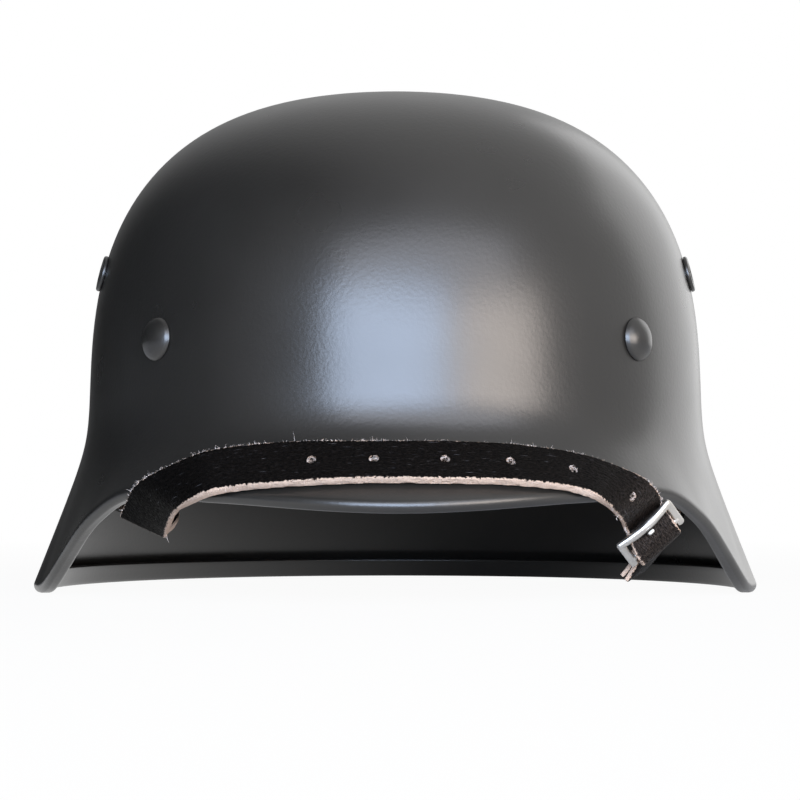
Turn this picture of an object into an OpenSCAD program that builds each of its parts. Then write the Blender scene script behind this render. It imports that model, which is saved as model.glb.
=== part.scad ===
// Pressed steel helmet with a rolled rim, its sprung double-band liner and its chin strap.
// +Z is up, the front faces -Y, and the rim rests on the plane Z = 0. All lengths are millimetres.
// An azimuth is an angle round Z in degrees: 0 is the front, 90 the right side (+X), 180 the back.

/* [Shell] */
// Half width of the dome
dome_half_w = 100.6; // [97:0.1:104]
// Reach of the dome forward of the middle
dome_front = 108; // [105:0.5:111]
// Reach of the dome behind the middle
dome_back = 118; // [114:0.5:122]
// Height of the crown above the resting plane
crown_z = 163.6; // [160:0.2:170]
// Height where the dome is widest
waist_z = 62; // [60:0.5:64]
// Squareness of the dome, where 2 is an ellipse
dome_power = 2.64; // [2.5:0.01:2.75]
// Thickness of the pressed sheet
sheet = 1.2; // [1:0.05:1.5]
// Height of the crease between the dome and the flared skirt
crease_z = 49; // [48:0.5:50]
// Softness of the crease
crease_soft = 10; // [8:0.5:12]
// Shift of the whole helmet along Y, so that the origin lies under the middle of its length
origin_shift = -5.5; // [-10:0.1:10]

/* [Rim] */
// Height of the visor's edge at the front
visor_z = 27; // [25:0.5:29]
// Height of the rim at the visor's outer corners
corner_z = 30.6; // [29:0.2:32]
// Outward slope of the visor at the front
visor_flare = 1.26; // [1.1:0.02:1.4]
// Outward slope of the skirt beside the ears
side_flare = 0.4; // [0.34:0.02:0.46]
// Outward slope of the neck guard at the back
nape_flare = 0.56; // [0.46:0.02:0.66]
// Outer radius of the rolled edge
hem_r = 2.5; // [2.3:0.1:2.8]
// Height of the folded leaf above the rolled edge
hem_leaf = 5.5; // [4:0.5:7]
// Depth of the flat that the rim rests on
hem_flat = 0.35; // [0.3:0.05:0.4]

/* [Pins and vents] */
// Azimuth of each front liner pin
pin_azimuth = 44.8; // [43:0.2:47]
// Height of the front liner pins
pin_z = 79.7; // [77:0.1:82]
// Height of the rear liner pin
rear_pin_z = 76; // [75:0.5:81]
// Radius of a pin's domed head
pin_head_r = 6.7; // [6:0.1:7]
// Height of a pin's domed head
pin_head_h = 3.4; // [2.5:0.1:4]
// Radius of a pin's shank
pin_shank_r = 2.2; // [1.8:0.1:2.4]
// Azimuth of each vent
vent_azimuth = 78.3; // [76:0.5:81]
// Height of the vents above the outer band's top
vent_above = 9.8; // [9:0.2:12]
// Radius of a vent bushing's bore
vent_bore_r = 3.2; // [2.8:0.1:3.4]
// Radius of a vent bushing's flange
vent_flange_r = 5.9; // [5.6:0.1:6.3]
// Wall of a vent bushing's barrel
vent_wall = 0.9; // [0.7:0.1:1]

/* [Liner] */
// Inset of the outer band's outside from the dome's outline
outer_inset = 4.2; // [4.1:0.05:4.5]
// Thickness of each band
band_t = 1; // [0.8:0.1:1.1]
// Gap between the two bands, which the springs fill
spring_gap = 7.8; // [7:0.1:8.2]
// Bottom of the outer band
outer_band_z = 64; // [63:0.5:66]
// Height of the outer band
outer_band_h = 30; // [27:0.5:30]
// Bottom of the inner band
inner_band_z = 58; // [57:0.5:59]
// Height of the inner band
inner_band_h = 29; // [26:0.5:30]
// Thickness of a leaf spring
spring_t = 0.7; // [0.5:0.1:0.8]
// Height of a leaf spring
spring_h = 13; // [10:0.5:14]
// Half length of a leaf spring
spring_half = 19; // [18:0.5:21]
// Thickness of the felt pad
felt_t = 1.8; // [1.4:0.1:2]
// Thickness of the liner leather
leather_t = 1.4; // [1.1:0.1:1.5]
// Height where the leather splits into fingers
slit_z = 85; // [84:0.5:88]
// Rise of the fingers above the slits
finger_rise = 50; // [44:1:54]
// Diameter of the drawstring
string_d = 1.8; // [1.4:0.1:2]

/* [Chin strap] */
// Width of the strap
strap_w = 15.2; // [14.8:0.1:16.2]
// Thickness of the strap
strap_t = 2.4; // [2:0.1:2.5]
// Thickness of the strap's thinned tip, which passes through the buckle
strap_tip_t = 1.5; // [1.4:0.1:1.7]
// Thickness of the thinned loop at the buckle
loop_t = 1; // [0.9:0.1:1.2]
// Gap between the strap and the visor under it
strap_lift = 0.85; // [0.8:0.05:1.3]
// Radius of the punched holes
strap_hole_r = 1.5; // [1.2:0.1:1.7]
// Azimuth of each bale
bale_azimuth = 75; // [73:0.5:77]
// Radius of a bale's wire
bale_wire_r = 1.5; // [1.3:0.05:1.6]
// Distance between a bale's two bars
bale_drop = 14.3; // [13.5:0.1:15]
// Inner width of a bale
bale_inner_w = 20; // [18.5:0.5:22]
// Length of the doubled strap below a bale
loop_drop = 13; // [12:0.5:14]

/* [Buckle] */
// Distance between the buckle's two bars
buckle_pitch = 9.2; // [9:0.1:9.8]
// Width of each flat side of the frame
buckle_side = 2.4; // [2.2:0.1:2.8]
// Thickness of the flat sides
buckle_t = 1.6; // [1.4:0.1:1.8]
// Height of the rounded front bar
buckle_bar_h = 2.2; // [2:0.1:2.4]
// Width of the rounded front bar
buckle_bar_w = 2.6; // [2.3:0.1:2.9]
// Radius of the buckle's rear bar
buckle_rear_r = 1.2; // [1.1:0.05:1.3]
// Thickness of the tongue
tongue_t = 1.3; // [1.1:0.1:1.4]
// Width of the tongue
tongue_w = 2.4; // [2:0.1:2.6]
// Wall of the eye that holds the tongue to the rear bar
tongue_eye = 1; // [0.8:0.1:1.1]

/* [Hidden] */

paint = [0.17, 0.175, 0.17];
steel = [0.62, 0.63, 0.64];
alloy = [0.78, 0.78, 0.77];
black_leather = [0.07, 0.065, 0.06];
tan_leather = [0.5, 0.33, 0.2];
felt_grey = [0.42, 0.4, 0.36];

// Running clearance of a bar in its eye, and the small gaps between pieces that lie together
run_gap = 0.1;
lie_gap = 0.3;
loop_gap = 0.2;

// The vents sit above the outer band, clear of their washers
vent_z = outer_band_z + outer_band_h + vent_above;

// Small vector tools
function unit(v) = v / norm(v);
function polar(azimuth, r, z) = [r * sin(azimuth), -r * cos(azimuth), z];
function square_to(v, t) = unit(v - (v * t) * t);

// A smooth curve through a table's rows: column c at the place x of column 0
function row_of(t, x, i = 0) = i >= len(t) - 2 || x < t[i + 1][0] ? i : row_of(t, x, i + 1);
function row_slope(t, c, i) = i == 0 || i == len(t) - 1 ? 0
    : (t[i + 1][c] - t[i - 1][c]) / (t[i + 1][0] - t[i - 1][0]);
function smooth(t, c, x) = let (
    i = row_of(t, x), h = t[i + 1][0] - t[i][0], u = (x - t[i][0]) / h,
    m0 = row_slope(t, c, i) * h, m1 = row_slope(t, c, i + 1) * h)
    (2 * u ^ 3 - 3 * u ^ 2 + 1) * t[i][c] + (u ^ 3 - 2 * u ^ 2 + u) * m0
    + (3 * u ^ 2 - 2 * u ^ 3) * t[i + 1][c] + (u ^ 3 - u ^ 2) * m1;

// A smooth line through a list of points, with a number of steps between each two
function catmull(p, i, u) = let (
    a = p[max(i - 1, 0)], b = p[i], c = p[i + 1], d = p[min(i + 2, len(p) - 1)])
    0.5 * (2 * b + (c - a) * u + (2 * a - 5 * b + 4 * c - d) * u ^ 2
    + (3 * b - a - 3 * c + d) * u ^ 3);
function through(p, steps) = [for (i = [0 : len(p) - 2], k = [0 : steps - 1])
    catmull(p, i, k / steps), p[len(p) - 1]];
function bezier(p, u) = (1 - u) ^ 3 * p[0] + 3 * (1 - u) ^ 2 * u * p[1]
    + 3 * (1 - u) * u ^ 2 * p[2] + u ^ 3 * p[3];

// The rim's line: azimuth, height of the rim, slope of the skirt above it
rim_line = [
    [0, visor_z, visor_flare],
    [26, visor_z + 0.8 * (corner_z - visor_z), visor_flare * 0.83],
    [43.6, corner_z, visor_flare * 0.66],
    [54, corner_z * 0.78, side_flare * 1.44],
    [65, corner_z * 0.425, side_flare * 0.98],
    [76.5, corner_z * 0.042, side_flare * 0.88],
    [86, 0, side_flare],
    [180, 0, nape_flare]];
function folded(azimuth) = let (a = abs(azimuth) % 360) a > 180 ? 360 - a : a;
function rim_z(azimuth) = max(smooth(rim_line, 1, folded(azimuth)), 0);
function flare(azimuth) = smooth(rim_line, 2, folded(azimuth));

// The dome's outline seen from above, and its radius at a height
function plan_r(azimuth) = 1 / norm([sin(azimuth) / dome_half_w,
    cos(azimuth) / (cos(azimuth) > 0 ? dome_front : dome_back)]);
function skirt(azimuth, z) = let (d = crease_z - z)
    flare(azimuth) * (d + norm([d, crease_soft])) / 2;
function wall_r(azimuth, z) = let (up = max(0, (z - waist_z) / (crown_z - waist_z)))
    plan_r(azimuth) * (1 - up ^ dome_power) ^ (1 / dome_power) + skirt(azimuth, z);
function wall_at(azimuth, z) = polar(azimuth, wall_r(azimuth, z), z);
function wall_out(azimuth, z) = unit(cross(wall_at(azimuth + 0.2, z) - wall_at(azimuth - 0.2, z),
    wall_at(azimuth, z + 0.2) - wall_at(azimuth, z - 0.2)));

// The section of the sheet at one azimuth, as [radius, height] points that run from the crown
// down the outside, round the rolled edge, up the folded leaf and back up the inside
dome_steps = 11;
wall_steps = 8;
bend_steps = 6;
around = 72;
function edge_slope(azimuth) = let (z = rim_z(azimuth) + hem_r)
    skirt(azimuth, z - 0.5) - skirt(azimuth, z + 0.5);
function edge_out(azimuth) = unit([1, edge_slope(azimuth)]);
function edge_z(azimuth) = rim_z(azimuth) + hem_r - hem_flat + hem_r * edge_out(azimuth).y;
function edge_r(azimuth) = wall_r(azimuth, edge_z(azimuth));
function edge_centre(azimuth) = [edge_r(azimuth), edge_z(azimuth)] - hem_r * edge_out(azimuth);
function outside_line(azimuth) = concat(
    [for (i = [0 : dome_steps]) let (u = 90 * i / dome_steps,
        z = waist_z + (crown_z - waist_z) * cos(u) ^ (2 / dome_power))
        [plan_r(azimuth) * sin(u) ^ (2 / dome_power) + skirt(azimuth, z) * sin(u), z]],
    [for (i = [1 : wall_steps]) let (
        z = waist_z + (edge_z(azimuth) - waist_z) * i / wall_steps)
        [wall_r(azimuth, z), z]]);
function line_out(line, i) = let (n = len(line),
    t = line[min(i + 1, n - 1)] - line[max(i - 1, 0)])
    i == 0 ? [0, 1] : unit([-t.y, t.x]);
function bend_line(azimuth, r) = let (
    c = edge_centre(azimuth), out = edge_out(azimuth), down = [out.y, -out.x])
    [for (i = [1 : bend_steps]) let (b = 180 * i / bend_steps,
        p = c + r * (out * cos(b) + down * sin(b)))
        [p.x, max(p.y, rim_z(azimuth) + hem_r - r)]];
function leaf_tip(azimuth, r) = let (out = edge_out(azimuth))
    edge_centre(azimuth) - r * out + hem_leaf * [-out.y, out.x];
function backward(list) = [for (i = [len(list) - 1 : -1 : 0]) list[i]];
function shell_section(azimuth) = let (
    outer = outside_line(azimuth),
    inner = [for (i = [0 : len(outer) - 1]) outer[i]
        - sheet * (i == len(outer) - 1 ? edge_out(azimuth) : line_out(outer, i))])
    concat(outer, bend_line(azimuth, hem_r), [leaf_tip(azimuth, hem_r)],
        [leaf_tip(azimuth, hem_r - sheet)], backward(bend_line(azimuth, hem_r - sheet)),
        backward(inner));

// A closed skin over sections that share their first and last points on the axis
module skin_round(section_of, n) {
    rows = [for (i = [0 : n - 1]) section_of(360 * i / n)];
    m = len(rows[0]);
    points = concat([[0, 0, rows[0][0].y], [0, 0, rows[0][m - 1].y]],
        [for (i = [0 : n - 1], j = [1 : m - 2]) polar(360 * i / n, rows[i][j].x, rows[i][j].y)]);
    function id(i, j) = j == 0 ? 0 : j == m - 1 ? 1 : 2 + (i % n) * (m - 2) + j - 1;
    faces = [for (i = [0 : n - 1], j = [0 : m - 2])
        j == 0 ? [0, id(i + 1, 1), id(i, 1)]
        : j == m - 2 ? [id(i, j), id(i + 1, j), 1]
        : [id(i, j), id(i + 1, j), id(i + 1, j + 1), id(i, j + 1)]];
    polyhedron(points, faces, convexity = 8);
}

// Puts children on the shell's outside, with +Z along its outward normal
module on_wall(azimuth, z) {
    out = wall_out(azimuth, z);
    side = unit(cross([0, 0, 1], out));
    up = cross(out, side);
    at = wall_at(azimuth, z);
    multmatrix([[side.x, up.x, out.x, at.x], [side.y, up.y, out.y, at.y],
        [side.z, up.z, out.z, at.z]]) children();
}

// The oval that lies a given inset inside the dome's outline
function oval(azimuth, inset) = let (r = plan_r(azimuth) - inset)
    [r * sin(azimuth), -r * cos(azimuth)];
function oval_out(azimuth, inset) = let (
    t = oval(azimuth + 0.2, inset) - oval(azimuth - 0.2, inset)) unit([t.y, -t.x]);
module oval_ring(inset, thickness, z, height) {
    translate([0, 0, z]) linear_extrude(height) difference() {
        polygon([for (i = [0 : around - 1]) oval(360 * i / around, inset)]);
        polygon([for (i = [0 : around - 1]) oval(360 * i / around, inset + thickness)]);
    }
}
// Puts children at an oval, with +Z outwards, +Y up and +X along the oval
module on_oval(azimuth, inset, z) {
    at = oval(azimuth, inset);
    out = oval_out(azimuth, inset);
    multmatrix([[-out.y, 0, out.x, at.x], [out.x, 0, out.y, at.y], [0, 1, 0, z]]) children();
}

// Insets of what lies between the shell and the head
outer_in = outer_inset + band_t;
inner_inset = outer_in + spring_gap;
inner_in = inner_inset + band_t;
rivet_head = 0.8;
felt_clear = 0.5;
felt_inset = inner_in + rivet_head + felt_clear;
leather_inset = felt_inset + felt_t + lie_gap;
leather_mid = leather_inset + leather_t / 2;
flap_mid = inner_inset - 1.5 * lie_gap - leather_t / 2;

// Pins and their washers, in the frame of the wall at each pin
pin_spots = [[-pin_azimuth, pin_z], [pin_azimuth, pin_z], [180, rear_pin_z]];
pin_hole_r = pin_shank_r + lie_gap;
// Depth of the outer band's inside below the shell's outside at a spot
function band_depth(spot) = wall_r(spot[0], spot[1]) - plan_r(spot[0]) + outer_in;
washer_t = 0.8;
washer_r = 6;
tab_t = 0.9;
tab_w = 3.6;
tab_reach = 8.5;
seat_gap = 0.06;
function washer_depth(spot) = band_depth(spot) + lie_gap * 2.4;

module pin_holes() {
    for (spot = pin_spots) on_wall(spot[0], spot[1])
        translate([0, 0, -12]) cylinder(h = 16, r = pin_hole_r, $fn = 32);
}
module domed_head(r, h) {
    // A low round head: a cap of a sphere with a short upright edge
    edge = h * 0.18;
    cap = h - edge;
    ball = (r * r + cap * cap) / (2 * cap);
    steps = 8;
    half = asin(r / ball);
    rotate_extrude($fn = 48) polygon(concat([[0, 0], [r, 0]],
        [for (i = [0 : steps]) let (a = half * (1 - i / steps))
            [ball * sin(a), edge + cap - ball + ball * cos(a)]]));
}
module liner_pin(spot) {
    depth = washer_depth(spot) + washer_t + run_gap;
    color(paint) on_wall(spot[0], spot[1]) union() {
        translate([0, 0, seat_gap]) domed_head(pin_head_r, pin_head_h);
        translate([0, 0, -depth - tab_t]) cylinder(h = depth + tab_t + 0.5, r = pin_shank_r,
            $fn = 32);
        for (side = [-1, 1]) translate([side * tab_reach / 2, 0, -depth - tab_t / 2])
            cube([tab_reach, tab_w, tab_t], center = true);
    }
}
module pin_washers() {
    color(steel) for (spot = pin_spots) on_wall(spot[0], spot[1])
        translate([0, 0, -washer_depth(spot) - washer_t]) difference() {
            cylinder(h = washer_t, r = washer_r, $fn = 48);
            translate([0, 0, -1]) cylinder(h = washer_t + 2, r = pin_hole_r, $fn = 32);
        }
}

// Vent bushings: a flanged eyelet through the shell, rolled over a washer inside
vent_barrel_r = vent_bore_r + vent_wall;
vent_hole_r = vent_barrel_r + lie_gap;
vent_washer_t = 0.8;
vent_washer_in = sheet + 2.2 * lie_gap;
vent_roll = 1.1;
module vent_bushing(side) {
    bottom = vent_washer_in + vent_washer_t + run_gap + vent_roll;
    flange_h = 1.3;
    color(paint) on_wall(side * vent_azimuth, vent_z) rotate_extrude($fn = 48)
        polygon([[vent_bore_r, -bottom], [vent_barrel_r + 0.9, -bottom],
            [vent_barrel_r + 1.2, -bottom + vent_roll * 0.5],
            [vent_barrel_r + 0.9, -bottom + vent_roll], [vent_barrel_r, -bottom + vent_roll],
            [vent_barrel_r, seat_gap], [vent_flange_r, seat_gap],
            [vent_flange_r - 0.1, seat_gap + 0.5], [vent_flange_r - 0.7, flange_h - 0.25],
            [vent_flange_r - 1.5, flange_h], [vent_bore_r + 0.5, flange_h],
            [vent_bore_r, flange_h - 0.5]]);
}
module vent_washer(side) {
    color(steel) on_wall(side * vent_azimuth, vent_z)
        translate([0, 0, -vent_washer_in - vent_washer_t]) difference() {
            cylinder(h = vent_washer_t, r = vent_flange_r + 0.5, $fn = 48);
            translate([0, 0, -1]) cylinder(h = vent_washer_t + 2, r = vent_hole_r, $fn = 48);
        }
}

module shell() {
    color(paint) difference() {
        skin_round(function (azimuth) shell_section(azimuth), around);
        pin_holes();
        for (side = [-1, 1]) on_wall(side * vent_azimuth, vent_z)
            translate([0, 0, -6]) cylinder(h = 12, r = vent_hole_r, $fn = 48);
    }
}

// Rivets: a shank along Z between two low heads, as [bottom, top] of the stack that it holds
module rivet(bottom, top, shank_r, head_r) {
    rotate_extrude($fn = 24) polygon([[0, bottom - rivet_head],
        [head_r * 0.6, bottom - rivet_head], [head_r, bottom - rivet_head * 0.4],
        [head_r, bottom], [shank_r, bottom], [shank_r, top], [head_r, top],
        [head_r, top + rivet_head * 0.4], [head_r * 0.6, top + rivet_head],
        [0, top + rivet_head]]);
}
small_rivet_r = 1.3;
small_head_r = 2.8;
small_hole_r = small_rivet_r + run_gap;

// The leaf springs stand between the bands, riveted at both feet and in the middle
spring_azimuths = [18, 103, 146, 214, 257, 342];
spring_z = outer_band_z + 7;
foot_half = 4.2;
function spring_turn(azimuth, along) = azimuth + along / (plan_r(azimuth) - outer_in) * 180 / PI;
spring_seat = 0.2;
function spring_mid(along) = let (
    rise = min(1, max(0, (spring_half - 2 * foot_half - abs(along)) / 7)))
    outer_in + spring_t / 2 + spring_seat
    + (spring_gap - spring_t - 2 * spring_seat) * (3 * rise ^ 2 - 2 * rise ^ 3);
function spring_half_t(along) = let (s = spring_mid(along + 0.1) - spring_mid(along - 0.1))
    spring_t / 2 * norm([1, 5 * s]);
function spring_side(azimuth, sign) = [for (k = [-19 : 19]) let (along = spring_half * k / 19)
    oval(spring_turn(azimuth, along), spring_mid(along) + sign * spring_half_t(along))];
function foot_azimuth(azimuth, sign) = spring_turn(azimuth, sign * (spring_half - foot_half));
module spring_holes() {
    for (azimuth = spring_azimuths) {
        for (sign = [-1, 1]) on_oval(foot_azimuth(azimuth, sign), outer_in, spring_z + spring_h / 2)
            translate([0, 0, -3]) cylinder(h = 6, r = small_hole_r, $fn = 24);
        on_oval(azimuth, inner_inset, spring_z + spring_h / 2)
            translate([0, 0, -3]) cylinder(h = 6, r = small_hole_r, $fn = 24);
    }
}
module leaf_springs() {
    color(steel) difference() {
        for (azimuth = spring_azimuths) translate([0, 0, spring_z]) linear_extrude(spring_h)
            polygon(concat(spring_side(azimuth, -1), backward(spring_side(azimuth, 1))));
        spring_holes();
    }
}
module spring_rivets() {
    color(steel) for (azimuth = spring_azimuths) {
        for (sign = [-1, 1]) on_oval(foot_azimuth(azimuth, sign), outer_in, spring_z + spring_h / 2)
            rivet(-spring_t - spring_seat - 0.15, band_t + 0.15, small_rivet_r, small_head_r);
        on_oval(azimuth, inner_inset, spring_z + spring_h / 2)
            rivet(-band_t - spring_seat, spring_t + spring_seat + 0.15, small_rivet_r,
                small_head_r);
    }
}

// The bale brackets hang inside the outer band, with a knuckle below it for the bale's upper bar
knuckle_r = bale_wire_r + run_gap + 1;
plate_t = 1;
plate_w = 22;
plate_h = 14;
// A flat plate inside the curved band stands off in its middle by the band's sag over its width
plate_sag = plate_w ^ 2 / 8 / (dome_half_w - outer_in - 3) + seat_gap + 0.04;
bracket_inset = outer_in + plate_sag + plate_t / 2;
knuckle_z = outer_band_z - knuckle_r - 0.6;
bracket_rivet_x = 7;
bracket_rivet_z = 9.5;
module on_bale(side) {
    on_oval(side * bale_azimuth, bracket_inset, knuckle_z) children();
}
module bracket_holes(side) {
    on_bale(side) for (x = [-1, 1]) translate([x * bracket_rivet_x, bracket_rivet_z, -4])
        cylinder(h = 8, r = small_hole_r, $fn = 24);
}
module bale_bracket(side) {
    color(steel) difference() {
        on_bale(side) difference() {
            union() {
                translate([-plate_w / 2, 0, -plate_t / 2]) cube([plate_w, plate_h, plate_t]);
                rotate([0, 90, 0]) cylinder(h = bale_inner_w - 5, r = knuckle_r, center = true,
                    $fn = 40);
            }
            rotate([0, 90, 0]) cylinder(h = plate_w + 4, r = bale_wire_r + run_gap, center = true,
                $fn = 40);
            for (x = [-1, 1]) translate([x * (plate_w / 2 + 1.5), 1, 0])
                cube([10, 7, 8], center = true);
        }
        bracket_holes(side);
    }
}
module bracket_rivets() {
    color(steel) for (side = [-1, 1]) on_bale(side) for (x = [-1, 1])
        translate([x * bracket_rivet_x, bracket_rivet_z, 0])
            rivet(-plate_t / 2 - 0.05, plate_t / 2 + plate_sag + band_t + 0.05, small_rivet_r,
                small_head_r);
}

// A bale: a closed rectangle of wire with round corners, hung in its bracket's knuckle
bale_corner = 3;
module bale(side) {
    half = bale_inner_w / 2 + bale_wire_r;
    color(steel) on_bale(side) {
        for (y = [0, -bale_drop]) translate([0, y, 0]) rotate([0, 90, 0])
            cylinder(h = 2 * (half - bale_corner), r = bale_wire_r, center = true, $fn = 32);
        for (x = [-half, half]) translate([x, -bale_drop + bale_corner, 0]) rotate([-90, 0, 0])
            cylinder(h = bale_drop - 2 * bale_corner, r = bale_wire_r, $fn = 32);
        for (x = [-1, 1], y = [0, 1]) translate([x * (half - bale_corner),
            y == 0 ? -bale_corner : bale_corner - bale_drop, 0])
            rotate([0, 0, x > 0 ? (y == 0 ? 0 : 270) : (y == 0 ? 90 : 180)])
            rotate_extrude(angle = 90, $fn = 48) translate([bale_corner, 0])
                circle(r = bale_wire_r, $fn = 32);
    }
}

// A leather loop round a bar: an eye and two layers side by side, seen along the bar
module loop_shape(bar_r, length, thickness) {
    eye = bar_r + loop_gap;
    difference() {
        union() {
            circle(r = eye + thickness, $fn = 48);
            translate([-thickness - 0.1, -length]) square([2 * thickness + 0.2, length]);
        }
        circle(r = eye, $fn = 48);
        translate([-0.1, -length - 1]) square([0.2, length]);
    }
}
stud_drop = 8.4;
stud_shank_r = 1.3;
module strap_loop(side) {
    color(black_leather) on_bale(side) difference() {
        translate([0, -bale_drop, 0]) rotate([0, 90, 0])
            linear_extrude(strap_w, center = true) loop_shape(bale_wire_r, loop_drop, strap_t);
        translate([0, -bale_drop - stud_drop, -6]) cylinder(h = 12, r = stud_shank_r + run_gap,
            $fn = 32);
    }
}
module strap_stud(side) {
    color(alloy) on_bale(side) translate([0, -bale_drop - stud_drop, 0])
        rivet(-strap_t - 0.2, strap_t + 0.2, stud_shank_r, 3.2);
}

// The liner leather: a sweatband folded up round the inner band, then fingers to the crown.
// Each row gives inset and height, or for the fingers an angle up their curve and a width share
fingers = 8;
finger_cols = 6;
fold_r = (leather_mid - flap_mid) / 2;
fold_z = inner_band_z - lie_gap - 0.2;
sweat_rows = concat([[flap_mid, fold_z + 9.5]],
    [for (i = [0 : 4]) let (b = 180 * i / 4)
        [flap_mid + fold_r * (1 - cos(b)), fold_z - fold_r * sin(b)]],
    [[leather_mid, (fold_z + slit_z) / 2], [leather_mid, slit_z]]);
finger_rows = [[9, 0.95], [22, 0.94], [34, 0.93], [45, 0.91], [55, 0.87], [63, 0.81],
    [69, 0.73], [74.5, 0.6], [79, 0.36]];
hole_row = 14;
finger_power = 2 / 2.3;
function finger_r(azimuth, up) = (plan_r(azimuth) - leather_mid) * cos(up) ^ finger_power;
function finger_z(up) = slit_z + finger_rise * sin(up) ^ finger_power;
ring_rows = len(sweat_rows);
leather_rows = ring_rows + len(finger_rows);
function leather_mark(j, azimuth) = j < ring_rows
    ? [plan_r(azimuth) - sweat_rows[j][0], sweat_rows[j][1]]
    : let (up = finger_rows[j - ring_rows][0]) [finger_r(azimuth, up), finger_z(up)];
function leather_out(j, azimuth) = let (
    t = leather_mark(min(j + 1, leather_rows - 1), azimuth) - leather_mark(max(j - 1, 0), azimuth))
    unit([t.y, -t.x]);
function finger_azimuth(j, f, c) = let (
    share = j < ring_rows ? 1 : finger_rows[j - ring_rows][1])
    (f + 0.5 + (c / finger_cols - 0.5) * share) * 360 / fingers;
function leather_point(layer, j, f, c) = let (
    azimuth = finger_azimuth(j, f, c), m = leather_mark(j, azimuth),
    n = leather_out(j, azimuth), s = (0.5 - layer) * leather_t)
    polar(azimuth, m.x + s * n.x, m.y + s * n.y);
layer_points = ring_rows * fingers * finger_cols + len(finger_rows) * fingers * (finger_cols + 1);
function leather_id(layer, j, f, c) = layer * layer_points + (j < ring_rows
    ? j * fingers * finger_cols + (f * finger_cols + c) % (fingers * finger_cols)
    : ring_rows * fingers * finger_cols
        + ((j - ring_rows) * fingers + f) * (finger_cols + 1) + c);
// A cell of the leather is there unless it lies past an edge, in a slit or in a string hole
function is_there(j, c) = j >= 0 && j < leather_rows - 1
    && (j < ring_rows - 1 || (c >= 0 && c < finger_cols))
    && !(j == hole_row && (c == 2 || c == 3));
module liner_leather() {
    points = [for (layer = [0, 1]) each concat(
        [for (j = [0 : ring_rows - 1], f = [0 : fingers - 1], c = [0 : finger_cols - 1])
            leather_point(layer, j, f, c)],
        [for (j = [ring_rows : leather_rows - 1], f = [0 : fingers - 1], c = [0 : finger_cols])
            leather_point(layer, j, f, c)])];
    faces = [for (j = [0 : leather_rows - 2], f = [0 : fingers - 1], c = [0 : finger_cols - 1])
        if (is_there(j, c)) let (
            a = leather_id(0, j, f, c), b = leather_id(0, j, f, c + 1),
            d = leather_id(0, j + 1, f, c), e = leather_id(0, j + 1, f, c + 1),
            s = layer_points)
            each [
                [a, d, e, b], [a + s, b + s, e + s, d + s],
                if (!is_there(j - 1, c)) [a, b, b + s, a + s],
                if (!is_there(j + 1, c)) [e, d, d + s, e + s],
                if (!is_there(j, c - 1)) [d, a, a + s, d + s],
                if (!is_there(j, c + 1)) [b, e, e + s, b + s]]];
    color(tan_leather) polyhedron(points, faces, convexity = 10);
}

// The drawstring weaves over and under the fingers through a hole near each tip
string_up = (finger_rows[hole_row - ring_rows][0] + finger_rows[hole_row - ring_rows + 1][0]) / 2;
string_sway = leather_t / 2 + string_d / 2 + lie_gap;
string_steps = 96;
string_sides = 6;
function string_mid(azimuth) = let (
    s = sin(azimuth * fingers / 2 - 90), wave = s / norm([s, 0.16]),
    r = finger_r(azimuth, string_up), z = finger_z(string_up),
    t = [finger_r(azimuth, string_up + 2) - finger_r(azimuth, string_up - 2),
        finger_z(string_up + 2) - finger_z(string_up - 2)],
    n = unit([t.y, -t.x]))
    polar(azimuth, r + n.x * wave * string_sway, z + n.y * wave * string_sway);
module drawstring() {
    points = [for (i = [0 : string_steps - 1]) let (
        azimuth = 360 * i / string_steps, p = string_mid(azimuth),
        t = unit(string_mid(azimuth + 0.5) - string_mid(azimuth - 0.5)),
        side = square_to([0, 0, 1], t), out = cross(t, side))
        for (k = [0 : string_sides - 1]) let (b = 360 * k / string_sides)
            p + string_d / 2 * (side * cos(b) + out * sin(b))];
    n = string_steps;
    faces = [for (i = [0 : n - 1], k = [0 : string_sides - 1]) let (
        i1 = (i + 1) % n, k1 = (k + 1) % string_sides)
        [i * string_sides + k, i1 * string_sides + k, i1 * string_sides + k1,
            i * string_sides + k1]];
    color([0.75, 0.7, 0.6]) polyhedron(points, faces, convexity = 6);
}

// Rivets that hold the leather and the felt to the inner band, below the springs
leather_rivet_z = inner_band_z + 4.5;
leather_rivet_azimuths = [for (i = [0 : 11]) 15 + 30 * i];
module leather_rivet_holes() {
    for (azimuth = leather_rivet_azimuths) on_oval(azimuth, inner_inset, leather_rivet_z)
        translate([0, 0, -4]) cylinder(h = 8, r = small_hole_r, $fn = 24);
}
module leather_rivets() {
    color(alloy) for (azimuth = leather_rivet_azimuths)
        on_oval(azimuth, inner_inset, leather_rivet_z)
            rivet(inner_inset - leather_mid - leather_t / 2 - seat_gap,
                inner_inset - flap_mid + leather_t / 2 + seat_gap, small_rivet_r, small_head_r);
}

module outer_band() {
    color(alloy) difference() {
        oval_ring(outer_inset, band_t, outer_band_z, outer_band_h);
        pin_holes();
        spring_holes();
        bracket_holes(-1);
        bracket_holes(1);
    }
}
module inner_band() {
    color(alloy) difference() {
        oval_ring(inner_inset, band_t, inner_band_z, inner_band_h);
        spring_holes();
        leather_rivet_holes();
    }
}
// The felt ends this far below the inner band's top
felt_short = 1;
module felt_pad() {
    bottom = leather_rivet_z + small_head_r + lie_gap;
    top = inner_band_z + inner_band_h - felt_short;
    color(felt_grey) oval_ring(felt_inset, felt_t, bottom, top - bottom);
}

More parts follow.
